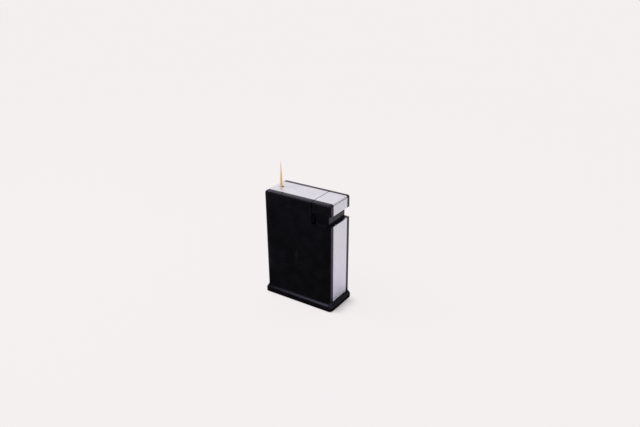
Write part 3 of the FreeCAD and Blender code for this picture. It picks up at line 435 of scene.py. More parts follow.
acetalGrain = {"cloud": 110, "grain": 700, "strength": 0.1, "depth": 0.00004, "detail": 2}
steelGrain = {"cloud": 300, "grain": 5200, "strength": 0.2, "depth": 0.00003, "detail": 2}
wireGrain = {"cloud": 240, "grain": 2600, "strength": 0.15, "depth": 0.00003}
rubberGrain = {"cloud": 200, "grain": 4200, "strength": 0.35, "depth": 0.00008}
finishes = {  # by the name of the slot
    "gloss_black": polishedBlack(),
    "satin_silver": satinSilver(),
    "inner_black": mouldedBlack(),
    "lift_white": grainedFinish("acetalWhite", stretch=(0.3, 1, 1), Specular_IOR_Level=0.5, **acetalGrain),
    "pin_steel": grainedFinish("turnedSteel", stretch=(0.06, 1, 0.06), Metallic=1, **steelGrain),
    "spring_steel": grainedFinish("springWire", stretch=(0.4, 0.4, 1), Metallic=1, **wireGrain),
    "pick_wood": birchWood(),
    "pad_rubber": grainedFinish("softRubber", Specular_IOR_Level=0.25, **rubberGrain),
}
print("materials ready")


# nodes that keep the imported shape

keptNodes = {
    "inner_black": ("hopper", "chassis"),
    "lift_white": ("rocker", "rocker_washer"),
    "pin_steel": ("rocker_pivot", "front_link_pin", "rear_link_pin", "retainer_rivet", "chassis_screws"),
    "spring_steel": ("plug_catch", "pick_retainer"),
}
for slotName, nodeNames in keptNodes.items():
    for nodeName in nodeNames:
        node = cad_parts[nodeName]
        node.data.materials.clear()
        node.data.materials.append(finishes[slotName])

bladeMesh = bmesh.new()
bladeMesh.from_mesh(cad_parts["lifter"].data)
bmesh.ops.remove_doubles(bladeMesh, verts=bladeMesh.verts, dist=sameCorner)  # the same shape, closed
finishSurface(makePiece("lifterBlade", bladeMesh), "lift_white", "lifter", ["lifter"])
print("inner nodes finished")


# side shells

shellSettings = {
    "rimRound": 0.0018,
    "notchRound": 0.00012,
    "dimpleMiddle": (-0.003, 0.045),
    "dimpleHalf": (0.0031, 0.0074),  # across and upright
    "dimpleDepth": 0.00048,
    "dimpleLean": 0.5,  # how far the deepest line lies to the back
    "dimpleFloor": 0.35,  # share of the way out that is rounded
    "dimpleRim": 0.12,  # share of it that eases into the face
    "dimpleSteps": 24,
    "chassisBosses": ((0.022, 0.034), (0.022, 0.05)),
    "chassisFace": 0.0106,
    "chassisPilot": 0.0023,
    "pivotPlace": (0.0102, 0.045),
    "pivotFace": 0.0108,
    "pivotBoss": 0.003,
    "pivotSeat": 0.0015,
    "pivotDepth": 0.00225,
    "seatLead": 0.0002,  # how far a seat's cutter starts before the boss
    "bossX": 0.025,
    "bossY": 0.009,
    "bossRadius": 0.0024,
    "bossLow": 0.0036,
    "bossTop": 0.02,
    "pilotRadius": 0.0011,
    "pilotTop": 0.015,
    "ribThick": 0.0016,
    "ribLow": 0.0124,
    "ribSink": 0.0004,
    "ribDrop": 0.0003,  # the rib ends this far below its boss
}


def caseCorners(inset):
    back, front = caseSize["back"] + inset, caseSize["front"] - inset
    top = caseSize["top"] - inset
    return [
        (back, caseSize["footTop"], 0),
        (front, caseSize["footTop"], 0),
        (front, caseSize["ledge"], 0),
        (caseSize["seam"], caseSize["ledge"], 0),
        (caseSize["seam"], top, 0),
        (back, top, caseSize["backRound"] - inset),
    ]


def addFootBoss(shell, end, side):  # screw boss at one end, with a rib to the wall
    x, y = end * shellSettings["bossX"], side * shellSettings["bossY"]
    top, half = shellSettings["bossTop"], shellSettings["ribThick"] / 2
    ribLow, ribHigh = sorted((y, side * (innerY + shellSettings["ribSink"])))
    ribTop = top - shellSettings["ribDrop"]
    rib = boxPiece("rib", (x - half, ribLow, shellSettings["ribLow"]), (x + half, ribHigh, ribTop))
    radius, pilot = shellSettings["bossRadius"], shellSettings["pilotRadius"]
    weld(shell, rib, rodPiece("post", radius, plainSides, (x, y), shellSettings["bossLow"], top))
    carve(shell, rodPiece("pilot", pilot, smallSides, (x, y), 0, shellSettings["pilotTop"]))


def sideShell(name, side):
    wide, narrow = shellSettings["rimRound"], shellSettings["notchRound"]
    notchRims = [{"x": caseSize["seam"]}, {"z": caseSize["ledge"]}]
    shell = rimmedCheek(name, caseCorners(0), side, wide, narrow, notchRims, [{"z": caseSize["footTop"]}])
    core = softCorners(caseCorners(caseSize["bandThick"]))
    weld(shell, prismPiece("core", core, 0, side * (coreY + coreSink)))
    hollowLow, hollowHigh = sorted((-side * overrun, side * innerY))
    low, high = (-innerX, hollowLow, caseSize["footTop"] - overrun), (innerX, hollowHigh, innerTop)
    seatLow, seatHigh = innerTop - overrun, caseSize["top"] + overrun
    guideSeat = rodPiece("guideSeat", guideRadius, fineSides, guideMiddle, seatLow, seatHigh)
    carve(shell, boxPiece("hollow", low, high), guideSeat)
    for end in (-1, 1):
        addFootBoss(shell, end, side)
    return shell


def addRoundBoss(shell, middle, side, face, radius, bore, depth):
    seatLow, seatHigh = side * (face - shellSettings["seatLead"]), side * (face + depth)
    weld(shell, rodPiece("post", radius, plainSides, middle, side * face, side * (innerY + sink), "y"))
    carve(shell, rodPiece("seat", bore, smallSides, middle, seatLow, seatHigh, "y"))


def shallowDish():  # thumbnail hollow with one long slope
    (halfX, halfZ), (middleX, middleZ) = shellSettings["dimpleHalf"], shellSettings["dimpleMiddle"]
    steps, depth, face = shellSettings["dimpleSteps"], shellSettings["dimpleDepth"], -caseSize["side"]
    shares = [step / steps for step in range(1, steps + 1)]
    floor, rim = shellSettings["dimpleFloor"], shellSettings["dimpleRim"]
    slopes = [min(share / floor, 1, (1 - share) / rim) for share in shares]
    rings = []
    for order, share in enumerate(shares):
        turn = halfX * share
        deep = depth * sum(slopes[order:]) / sum(slopes)
        middle = (middleX - halfX * shellSettings["dimpleLean"] * (1 - share), middleZ)
        outline = roundedBox(turn, halfZ * share, turn * fullRound, middle, steps=10)
        rings.append([place(u, v, face + deep, "y") for u, v in outline])
    rings.append([point - Vector((0, overrun, 0)) for point in rings[-1]])
    bm = bmesh.new()
    addRings(bm, rings)
    return makePiece("dish", bm)


nearShell = sideShell("nearShell", -1)
for bossPlace in shellSettings["chassisBosses"]:
    bossSize = (shellSettings["bossRadius"], shellSettings["pilotRadius"], shellSettings["chassisPilot"])
    addRoundBoss(nearShell, bossPlace, -1, shellSettings["chassisFace"], *bossSize)
carve(nearShell, shallowDish())
finishSurface(nearShell, "gloss_black", "case", ["side_shell_near"])
farShell = sideShell("farShell", 1)
pivotSize = (shellSettings["pivotBoss"], shellSettings["pivotSeat"], shellSettings["pivotDepth"])
addRoundBoss(farShell, shellSettings["pivotPlace"], 1, shellSettings["pivotFace"], *pivotSize)
finishSurface(farShell, "gloss_black", "case", ["side_shell_far"])
print("shells built")


# silver band over the back and top, with the pick hole

bandSettings = {
    "gap": 0.00005,
    "seamGap": 0.0001,
    "edge": 0.00015,
    "holeRadius": 0.002,
    "holeFlare": 0.0006,
    "flareDepth": 0.6,  # depth of the flare as a share of its width
}


def topBand():
    outer, thick, top, low = caseSize["backRound"], caseSize["bandThick"], caseSize["top"], bandLow.z
    back, seam = caseSize["back"], caseSize["seam"] - bandSettings["seamGap"]
    corners = [
        (back + thick, low, 0),
        (back + thick, top - thick, outer - thick),
        (seam, top - thick, 0),
        (seam, top, 0),
        (back, top, outer),
        (back, low, 0),
    ]
    half = coreY - bandSettings["gap"]
    band = prismPiece("silverBand", softCorners(corners, steps=12), -half, half)
    roundEdges(band, bandSettings["edge"], steps=2)
    radius, flare = bandSettings["holeRadius"], bandSettings["holeFlare"]
    profile = [
        (radius, top - thick - overrun),
        (radius, top - flare * bandSettings["flareDepth"]),
        (radius + flare, top),
        (radius + flare, top + overrun),
    ]
    carve(band, lathePiece("hole", profile, fineSides, [guideMiddle]))
    finishSurface(band, "satin_silver", "case", ["top_band"])


topBand()

panelSettings = {"edge": 0.00015}
panel = boxPiece("frontStrip", panelLow, panelHigh)
roundEdges(panel, panelSettings["edge"], steps=2)
finishSurface(panel, "satin_silver", "case", ["front_panel"])
print("silver strips built")


# press button: black cap with two cheeks, and the silver angle plate

buttonSettings = {
    "rimRound": 0.0018,
    "lowRound": 0.00025,
    "plateEdge": 0.00015,
    "foldHalf": 0.00006,
    "foldDepth": 0.00014,
    "foldInset": 0.00003,
    "shadeFillHalf": 1.4,  # the bar of painted shade, in half widths of the fold line, as is the mouth
    "mouthHalf": 2,
    "shadeFillEnd": 0.0001,
    "socketPlay": 0.00002,
}
plungerSettings = {
    "wall": 0.0016,
    "skirtLow": 0.07,
    "corner": 0.0015,
    "roomCorner": 0.0003,
    "hookReach": 0.0026,  # behind the skirt only the stop hook reaches further
    "hookTop": 0.072,
    "hookHalf": 0.0037,
    "lugX": (0.01849, 0.025),
    "lugY": (0.0109, 0.0126),
    "lugCorner": 0.0012,
    "slotX": (0.02119, 0.0223),
    "slotLevel": 0.04958,
    "slotHalf": 0.00115,
}
plungerLow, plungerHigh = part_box("plunger")
plungerBack = plungerLow.x + plungerSettings["hookReach"]
plungerMiddle, plungerHalf = ((plungerBack + plungerHigh.x) / 2, 0), (plungerHigh.x - plungerBack) / 2


def buttonCap():
    back, front, low, top = capLow.x, capHigh.x, capLow.z, capHigh.z
    turn, thick = caseSize["buttonRound"], caseSize["bandThick"]
    corners = [(back, low, 0), (front, low, 0), (front, top, turn), (back, top, 0)]
    wide, narrow = buttonSettings["rimRound"], buttonSettings["lowRound"]
    cap, cheek = [
        rimmedCheek(name, corners, side, wide, narrow, [{"x": back}, {"z": low}])
        for name, side in (("buttonCap", -1), ("cheek", 1))
    ]
    coreCorners = [
        (back, low, 0),
        (front - thick, low, 0),
        (front - thick, top - thick, turn - thick),
        (back, top - thick, 0),
    ]
    core = prismPiece("core", softCorners(coreCorners), -coreY - coreSink, coreY + coreSink)
    weld(cap, cheek, core)
    play, corner = buttonSettings["socketPlay"], plungerSettings["corner"]
    outline = roundedBox(plungerHalf + play, plungerHigh.y + play, corner, plungerMiddle, steps=6)
    carve(cap, prismPiece("socket", outline, low - overrun, plungerHigh.z, "z"))
    finishSurface(cap, "gloss_black", "button", ["button_cap"])


def buttonPlate():
    thick, outer = caseSize["bandThick"], caseSize["buttonRound"]
    back, front, low, top = plateLow.x, plateHigh.x, plateLow.z, plateHigh.z
    corners = [
        (back, top - thick, 0),
        (front - thick, top - thick, outer - thick),
        (front - thick, low, 0),
        (front, low, 0),
        (front, top, outer),
        (back, top, 0),
    ]
    plate = prismPiece("silverAngle", softCorners(corners, steps=12), plateLow.y, plateHigh.y)
    roundEdges(plate, buttonSettings["plateEdge"], steps=2)
    centre = Vector((front - outer, top - outer))
    along, across = Vector((1, 1)).normalized(), Vector((1, -1)).normalized()

    def foldWedge(name, floor, mouth, half, end):  # three-sided bar along the fold
        points = [centre + along * floor, centre + along * mouth + across * half]
        points.append(centre + along * mouth - across * half)
        return prismPiece(name, points, plateLow.y + end, plateHigh.y - end)

    half, inset = buttonSettings["foldHalf"], buttonSettings["foldInset"]
    floor = outer - buttonSettings["foldDepth"]
    carve(plate, foldWedge("groove", floor, outer + half, half * buttonSettings["mouthHalf"], -overrun))
    # black bar just under the groove's mouth: painted shade along the fold
    shadeFillHalf = half * buttonSettings["shadeFillHalf"]
    shadeFill = foldWedge("foldShadeFill", floor - inset, outer - inset, shadeFillHalf, buttonSettings["shadeFillEnd"])
    finishSurface(shadeFill, "gloss_black", "button", [])
    finishSurface(plate, "satin_silver", "button", ["button_plate"])


def plungerSkirt():
    low, high, wall = plungerSettings["skirtLow"], plungerHigh.z, plungerSettings["wall"]
    halfY, hookTop = plungerHigh.y, plungerSettings["hookTop"]
    outline = roundedBox(plungerHalf, halfY, plungerSettings["corner"], plungerMiddle, steps=6)
    skirt = prismPiece("plungerSkirt", outline, low, high, "z")
    corner = plungerSettings["roomCorner"]
    room = roundedBox(plungerHalf - wall, halfY - wall, corner, plungerMiddle, steps=4)
    carve(skirt, prismPiece("room", room, low - overrun, high - wall, "z"))
    hookHalf = plungerSettings["hookHalf"]
    hook = boxPiece("hook", (plungerLow.x, -hookHalf, low), (plungerBack + sink, hookHalf, hookTop))
    (back, front), corner = plungerSettings["lugX"], plungerSettings["lugCorner"]
    lugCorners = [
        (back, plungerLow.z, corner),
        (front, plungerLow.z, corner),
        (front, hookTop, 0),
        (back, hookTop, 0),
    ]
    lugNear, lugFar = plungerSettings["lugY"]
    lug = prismPiece("lug", softCorners(lugCorners), lugNear, lugFar)
    (slotLow, slotHigh), half = plungerSettings["slotX"], plungerSettings["slotHalf"]
    middle = ((slotLow + slotHigh) / 2, plungerSettings["slotLevel"])
    slot = roundedBox((slotHigh - slotLow) / 2 + half, half, half * fullRound, middle)
    carve(lug, prismPiece("slot", slot, lugNear - overrun, lugFar + overrun))
    weld(skirt, hook, lug)
    finishSurface(skirt, "gloss_black", "button", ["plunger"])


buttonCap()
buttonPlate()
plungerSkirt()
print("button built")


# flared foot with its pads and screws

footSettings = {
    "cornerRound": 0.003,
    "topCorner": 0.0018,
    "lowEdge": 0.0006,
    "lowSteps": 3,
    "lipHeight": 0.0042,
    "lipEdge": 0.0009,
    "lipSteps": 5,
    "flareSteps": 14,
    "flareCurve": 0.55,
    "spigotGap": 0.0002,
    "spigotWall": 0.0014,
    "spigotRound": 0.0012,
    "spigotRoom": 0.0006,  # round of its inner corners
    "spigotEdge": 0.0003,
    "floor": 0.0036,
    "hopperWall": 0.0012,
    "portGap": 0.0003,
    "flangeReach": 0.002,
    "flangeTop": 0.0023,
    "holeSides": 40,
    "screwSeat": 0.0022,
    "screwSeatTop": 0.0024,
    "screwHole": 0.0012,
    "screwHoleLow": 0.001,
    "padHole": 0.00302,
    "padDepth": 0.0016,
}
padSettings = {
    "radius": 0.003,
    "edge": 0.0004,
    "edgeTurns": (0.4, 0.8, 1.2, 1.57),
    "grooveRadius": 0.0016,
    "grooveSlope": 0.0002,
    "grooveDepth": 0.0003,
}
screwSettings = {
    "headRadius": 0.0021,
    "headHeight": 0.0015,
    "dome": 0.0003,
    "domeShares": ((0.55, 0), (0.85, 0.4), (1, 1)),  # of the head's radius and of the dome
    "shankRadius": 0.0011,
    "rootShare": 0.8,  # thread root and tip as shares of the shank
    "tipShare": 0.25,
    "threadLow": 0.003,  # the thread's ends, from the ends of the screw
    "threadHigh": 0.002,
    "taper": 0.0018,
    "pitch": 0.0007,
    "slotHalf": 0.0012,
    "slotThick": 0.00045,
    "slotDepth": 0.0008,
}
footLow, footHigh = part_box("foot")
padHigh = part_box("foot_pads")[1]
screwLow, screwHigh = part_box("foot_screws")


def fourPlaces(high, radius):
    return [(x * (high.x - radius), y * (high.y - radius)) for x in (-1, 1) for y in (-1, 1)]


padPlaces = fourPlaces(padHigh, padSettings["radius"])
screwPlaces = fourPlaces(screwHigh, screwSettings["headRadius"])


def footRing(halfX, halfY, turn, level):
    return [Vector((u, v, level)) for u, v in roundedBox(halfX, halfY, turn)]


def flareProfile(lean, top):  # insets and levels from the lip up to the case
    soft, lip = footSettings["lipEdge"], footSettings["lipHeight"]
    lipSteps, flareSteps = footSettings["lipSteps"], footSettings["flareSteps"]
    slope = math.atan2(lean, top - lip)  # of the flare from upright
    reach = soft * math.tan(slope / 2)
    profile = []
    for step in range(lipSteps + 1):  # round over the lip
        angle = slope * step / lipSteps
        profile.append(Vector((soft * (1 - math.cos(angle)), lip - reach + soft * math.sin(angle))))
    start, finish = profile[-1], Vector((lean, top))
    for step in range(1, flareSteps + 1):
        profile.append(start.lerp(finish, step / flareSteps))
    return profile


def flareRings(bottom, top):
    wideX, wideY, lean = footHigh.x, footHigh.y, footHigh.x - caseSize["front"]
    corner, lowEdge, lowSteps = footSettings["cornerRound"], footSettings["lowEdge"], footSettings["lowSteps"]
    rings = []
    for step in range(lowSteps + 1):  # quarter round under the lip
        angle = math.pi / 2 * step / lowSteps
        inset = lowEdge * (1 - math.sin(angle))
        level = bottom + lowEdge * (1 - math.cos(angle))
        rings.append(footRing(wideX - inset, wideY - inset, corner - inset, level))
    profile = flareProfile(lean, top)
    low = profile[0].y
    for inset, level in profile:  # straight at the ends, S-shaped along the sides
        share = (level - low) / (top - low)
        smooth = lean * share * share * (3 - 2 * share)
        sideInset = inset + (smooth - inset) * footSettings["flareCurve"]
        turn = corner + (footSettings["topCorner"] - corner) * share
        rings.append(footRing(wideX - inset, wideY - sideInset, turn, level))
    return rings


def spigotRings(level):  # up inside the case and down again to the floor
    x, y = innerX - footSettings["spigotGap"], innerY - footSettings["spigotGap"]
    edge, wall, top = footSettings["spigotEdge"], footSettings["spigotWall"], footHigh.z
    outer, inner = footSettings["spigotRound"], footSettings["spigotRoom"]
    return [
        footRing(x, y, outer, level),
        footRing(x, y, outer, top - edge),
        footRing(x - edge, y - edge, outer, top),
        footRing(x - wall, y - wall, inner, top),
        footRing(x - wall, y - wall, inner, footSettings["floor"]),
    ]


def openFoot(foot):  # port for the plug, seats for the pads, holes for the screws
    low, high = footLow.z - overrun, footSettings["floor"] + overrun
    wall, reach = footSettings["hopperWall"], footSettings["flangeReach"]
    hopperLow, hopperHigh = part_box("hopper")
    back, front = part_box("refill_plug")[0].x + reach - footSettings["portGap"], hopperHigh.x - wall
    near, far = hopperLow.y + wall, hopperHigh.y - wall
    seatHigh = (front + reach, far + reach, footSettings["flangeTop"])
    carve(foot, boxPiece("seat", (back - reach, near - reach, low), seatHigh))
    carve(foot, boxPiece("port", (back, near, low), (front, far, high)))
    sides, radius, depth = footSettings["holeSides"], footSettings["padHole"], footSettings["padDepth"]
    for middle in padPlaces:
        carve(foot, rodPiece("padSeat", radius, sides, middle, 0, depth))
    radius, seatTop = footSettings["screwSeat"], footSettings["screwSeatTop"]
    hole, holeLow = footSettings["screwHole"], footSettings["screwHoleLow"]
    for middle in screwPlaces:
        carve(foot, rodPiece("headSeat", radius, sides, middle, 0, seatTop))
        carve(foot, rodPiece("shankHole", hole, smallSides, middle, holeLow, high))


def flaredFoot():
    bm = bmesh.new()
    addRings(bm, flareRings(footLow.z, caseSize["footTop"]) + spigotRings(caseSize["footTop"]))
    foot = makePiece("flaredFoot", bm)
    openFoot(foot)
    finishSurface(foot, "gloss_black", "case", ["foot"])


def rubberPads():
    radius, edge, groove = padSettings["radius"], padSettings["edge"], padSettings["grooveRadius"]
    slope, depth = padSettings["grooveSlope"], padSettings["grooveDepth"]
    profile = [(groove - slope, depth), (groove, 0), (radius - edge, 0)]
    for turn in padSettings["edgeTurns"]:
        profile.append((radius - edge * (1 - math.sin(turn)), edge * (1 - math.cos(turn))))
    profile.append((radius, padHigh.z))
    pads = lathePiece("rubberPads", profile, footSettings["holeSides"], padPlaces)
    finishSurface(pads, "pad_rubber", "case", ["foot_pads"])


def screwProfile(low, high):
    head, shank, dome = screwSettings["headRadius"], screwSettings["shankRadius"], screwSettings["dome"]
    neck, root = low + screwSettings["headHeight"], shank * screwSettings["rootShare"]
    profile = [(head * out, low + dome * up) for out, up in screwSettings["domeShares"]]
    profile += [(head, neck), (shank, neck)]
    level = low + screwSettings["threadLow"]
    while level < high - screwSettings["threadHigh"]:  # thread crests, drawn as close ridges
        profile += [(root, level), (shank, level + screwSettings["pitch"] / 2)]
        level += screwSettings["pitch"]
    return profile + [(root, high - screwSettings["taper"]), (shank * screwSettings["tipShare"], high)]


def footScrews():
    profile = screwProfile(screwLow.z, screwHigh.z)
    screws = lathePiece("footScrewSet", profile, plainSides, screwPlaces)
    half, thick = screwSettings["slotHalf"], screwSettings["slotThick"] / 2
    low, high = screwLow.z - overrun, screwLow.z + screwSettings["slotDepth"]
    for x, y in screwPlaces:
        for halfX, halfY in ((half, thick), (thick, half)):
            carve(screws, boxPiece("slot", (x - halfX, y - halfY, low), (x + halfX, y + halfY, high)))
    finishSurface(screws, "pin_steel", "case", ["foot_screws"])


flaredFoot()
rubberPads()
footScrews()
print("foot built")


# wooden pick and the ring that it stands in

pickSettings = {"point": 0.0165, "pointSteps": 8, "fullness": 0.85, "tip": 0.00015, "sides": 20}
guideSettings = {"edge": 0.0003}


def woodenPick():
    low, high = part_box("toothpick")
    radius = (high.x - low.x) / 2
    middle = ((high.x + low.x) / 2, (high.y + low.y) / 2)
    point, tip, steps = pickSettings["point"], pickSettings["tip"], pickSettings["pointSteps"]
    profile = [(tip / 2, low.z), (tip, low.z + tip / 2)]
    for step in range(1, steps + 1):  # long tapered point, a little full
        share = step / steps
        width = tip + (radius - tip) * share ** pickSettings["fullness"]
        profile.append((width, low.z + tip / 2 + point * share))
    mirrored = [(width, low.z + high.z - level) for width, level in reversed(profile)]
    pick = lathePiece("woodenPick", profile + mirrored, pickSettings["sides"], [middle])
    finishSurface(pick, "pick_wood", "pick", ["toothpick"], sharpAngle=60)


def guideRing():
    outer, bore, edge = guideRadius, bandSettings["holeRadius"], guideSettings["edge"]
    low, high = guideLow.z, guideHigh.z
    profile = [
        (bore + edge, low),
        (outer - edge, low),
        (outer, low + edge),
        (outer, high),
        (bore + edge, high),
        (bore, high - edge),
        (bore, low + edge),
        (bore + edge, low),
    ]
    ring = lathePiece("guideRing", profile, fineSides, [guideMiddle], closeEnds=False)
    finishSurface(ring, "inner_black", "case", ["pick_guide"])


woodenPick()
guideRing()
print("pick and guide built")


# refill plug under the foot

plugSettings = {
    "reach": 0.002,
    "flangeTop": 0.0022,
    "wall": 0.0012,
    "roof": 0.0016,
    "columnLow": 0.0002,  # above the underside
    "columnTop": 0.034,
    "rearHeight": 0.0288,
    "frontHeight": 0.0311,
    "endRise": 0.0001,  # of the slope's cutter past the ends
    "corner": 0.0006,
    "flangeCorner": 0.0009,
    "edge": 0.0003,
    "barX": -0.0015,
    "barThick": 0.0015,
    "ridge": 0.00025,
    "ridgeHalf": 0.0008,
    "ridgeLevels": (0.003, 0.0046, 0.0062, 0.0078),
}


def slopeCutter(back, front, near, far):  # what is above the hopper's sloping floor
    rear, fore, rise = plugSettings["rearHeight"], plugSettings["frontHeight"], plugSettings["endRise"]
    top = plugSettings["columnTop"] + overrun
    corners = [
        (back - overrun, rear - rise),
        (back, rear),
        (front, fore),
        (front + overrun, fore + rise),
        (front + overrun, top),
        (back - overrun, top),
    ]
    return prismPiece("above", corners, near - overrun, far + overrun)


def refillStopper():
    low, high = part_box("refill_plug")
    reach, wall, corner = plugSettings["reach"], plugSettings["wall"], plugSettings["corner"]
    x, y = (low.x + high.x) / 2, (low.y + high.y) / 2
    halfX, halfY = (high.x - low.x) / 2 - reach, (high.y - low.y) / 2 - reach
    back, front, near, far = x - halfX, x + halfX, y - halfY, y + halfY
    flange = roundedBox(halfX + reach, halfY + reach, plugSettings["flangeCorner"], (x, y), steps=6)
    stopper = prismPiece("refillStopper", flange, low.z, plugSettings["flangeTop"], "z")
    roundEdges(stopper, plugSettings["edge"], steps=3)
    column = roundedBox(halfX, halfY, corner, (x, y), steps=5)
    columnLow, columnTop = low.z + plugSettings["columnLow"], plugSettings["columnTop"]
    weld(stopper, prismPiece("column", column, columnLow, columnTop, "z"))
    carve(stopper, slopeCutter(back, front, near, far))
    barX, roof = plugSettings["barX"], plugSettings["rearHeight"] - plugSettings["roof"]
    barBack, barFront = barX - plugSettings["barThick"] / 2, barX + plugSettings["barThick"] / 2
    for start, finish in ((back + wall, barBack), (barFront, front - wall)):  # finger wells
        middle = ((start + finish) / 2, y)
        hollow = roundedBox((finish - start) / 2, halfY - wall, corner, middle, steps=5)
        carve(stopper, prismPiece("hollow", hollow, low.z - overrun, roof, "z"))
    ridge, ridgeHalf = plugSettings["ridge"], plugSettings["ridgeHalf"]
    for level in plugSettings["ridgeLevels"]:  # finger ridges on the pull bar
        profile = [
            (barBack - ridge, level),
            (barX, level - ridgeHalf),
            (barFront + ridge, level),
            (barX, level + ridgeHalf),
        ]
        weld(stopper, prismPiece("ridge", profile, near + wall * 2, far - wall * 2))
    finishSurface(stopper, "gloss_black", "plug", ["refill_plug"])


refillStopper()
print("refill plug built")


# return spring

springSettings = {
    "middle": Vector((0.0225, -0.0025, 0)),
    "radius": 0.0039,
    "wire": 0.0009,
    "turns": 9,
    "stepsPerTurn": 36,
    "sides": 12,
    "closedPitch": 0.00095,
    "low": 0.06025,
    "high": 0.09355,
    "stroke": 0.00916,
}


def coilSpring():
    wire, turns, radius = springSettings["wire"] / 2, springSettings["turns"], springSettings["radius"]
    low, high = springSettings["low"] + wire, springSettings["high"] - wire
    steps, sides = springSettings["stepsPerTurn"], springSettings["sides"]
    closed = springSettings["closedPitch"]
    pitch = (high - low - 2 * closed) / (turns - 2)
    rings = []
    for step in range(turns * steps + 1):
        turn = step / steps
        if turn < 1:
            level = low + closed * turn
        elif turn > turns - 1:
            level = high - closed * (turns - turn)
        else:
            level = low + closed + pitch * (turn - 1)
        angle = turn * 2 * math.pi
        outward = Vector((math.cos(angle), math.sin(angle), 0))
        centre = springSettings["middle"] + outward * radius + Vector((0, 0, level))
        ring = []
        for side in range(sides):
            spin = 2 * math.pi * side / sides
            ring.append(centre + outward * wire * math.cos(spin) + Vector((0, 0, wire * math.sin(spin))))
        rings.append(ring)
    bm = bmesh.new()
    addRings(bm, rings)
    spring = makePiece("coilSpring", bm)
    finishSurface(spring, "spring_steel", "case", ["return_spring"])
    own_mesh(spring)


coilSpring()
print("spring built")


# floor, lights and camera

stageSettings = {
    "floorHalf": 8,
    "shade": (0.9, 0.86, 0.865),
    "mottle": 0.008,
    "shadowStops": ((0.0, 0.1), (0.009, 0.92), (1.0, 1.0)),  # distance, share of plain shade
    "shadowShift": (0.002, 0, 0),
    "shadowHalf": (0.035, 0.009, 0),
    "worldLight": 0.86,
    # tones of the cards seen only in reflections: painted dark reflections, and a dim one that darkens the
    # front strip towards the bottom
    "darkReflectionTone": ((0.01, 0.01, 0.01), (0.02, 0.02, 0.02)),
    "dimReflectionTone": ((0.90, 0.84, 0.91), (0.93, 0.87, 0.94)),
    "lowCard": (
        (-0.05, -0.0178),
        (0.25, -0.0178),
        (0.25, -0.28),
        (-0.28, -0.28),
        (-0.14, -0.095),
        (-0.066, -0.06),
    ),
    # painted contact shadow in the reflections of the foot's side and the front strip's lower end
    "sideCard": ((0.0354, -0.0178), (0.0425, -0.0178), (0.0425, 0.028), (0.0354, 0.028)),
    "cardLevels": (0.0002, 0.0004),
    "paleCard": ((0.0425, -0.0178), (0.084, -0.0178), (0.084, 0.08), (0.0425, 0.08)),
    "backCard": ((0.1, 0.02), (0.6, 0.02), (0.6, 0.23), (0.1, 0.23)),
    "backCardPlace": (0.42, 0.422),
    "frontCard": ((-0.05, 0.002), (-0.05, 0.75), (-0.93, 1.0), (-0.93, 0.6), (-2.5, 1.1), (-2.5, 0.002)),
    "frontCardPlace": (-1.002, -1),
}


def showWhere(tree):
    rays = tree.nodes.new("ShaderNodeLightPath")
    seen = rays.outputs["Is Camera Ray"]
    for name in ("Is Glossy Ray", "Is Transmission Ray"):
        seen = calculate(tree, "MAXIMUM", seen, rays.outputs[name])
    return seen


def paleFloor():
    bm = bmesh.new()
    half = stageSettings["floorHalf"]
    bm.faces.new([bm.verts.new((x * half, y * half, 0)) for x, y in ((-1, -1), (1, -1), (1, 1), (-1, 1))])
    floor = makePiece("paleFloor", bm)
    shade = stageSettings["shade"]
    material, tree, shader = newMaterial("floorPaint", Roughness=0.9, Specular_IOR_Level=0)
    position = objectPosition(tree)
    darker = tuple(channel - stageSettings["mottle"] for channel in shade)
    tree.links.new(tint(tree, noise(tree, position, scale=40), darker, shade), shader.inputs["Base Color"])
    glow = tree.nodes.new("ShaderNodeEmission")
    glow.inputs["Color"].default_value = (*shade, 1)
    none = (0, 0, 0)
    measures = (
        ("SUBTRACT", stageSettings["shadowShift"]),
        ("ABSOLUTE", none),
        ("SUBTRACT", stageSettings["shadowHalf"]),
        ("MAXIMUM", none),
        ("LENGTH", none),
    )
    offset = position
    for operation, value in measures:
        step = tree.nodes.new("ShaderNodeVectorMath")
        step.operation = operation
        step.inputs[1].default_value = value
        tree.links.new(offset, step.inputs[0])
        offset = step.outputs["Value" if operation == "LENGTH" else "Vector"]
    away = tree.nodes.new("ShaderNodeValToRGB")
    away.color_ramp.elements.new(0.5)
    for stop, (reach, plain) in zip(away.color_ramp.elements, stageSettings["shadowStops"]):
        stop.position = reach
        stop.color = (plain, plain, plain, 1)
    tree.links.new(offset, away.inputs["Fac"])
    share = calculate(tree, "MULTIPLY", away.outputs["Color"], showWhere(tree))
    blend = tree.nodes.new("ShaderNodeMixShader")
    tree.links.new(share, blend.inputs["Fac"])
    tree.links.new(shader.outputs["BSDF"], blend.inputs[1])
    tree.links.new(glow.outputs["Emission"], blend.inputs[2])
    output = next(node for node in tree.nodes if node.type == "OUTPUT_MATERIAL")
    tree.links.new(blend.outputs["Shader"], output.inputs["Surface"])
    floor.data.materials.append(material)


def paleWorld():
    world = bpy.data.worlds.new("paleWorld")
    bpy.context.scene.world = world
    world.use_nodes = True
    tree = world.node_tree
    background = next(node for node in tree.nodes if node.type == "BACKGROUND")
    light = stageSettings["worldLight"]
    colour = tint(tree, showWhere(tree), (light, light, light), stageSettings["shade"], 0, 1)
    tree.links.new(colour, background.inputs["Color"])


def cardSurface(name, dark, light):
    material, tree, shader = newMaterial(name, Roughness=1, Specular_IOR_Level=0)
    fibres = noise(tree, objectPosition(tree), scale=900)
    tree.links.new(tint(tree, fibres, dark, light), shader.inputs["Base Color"])
    return material
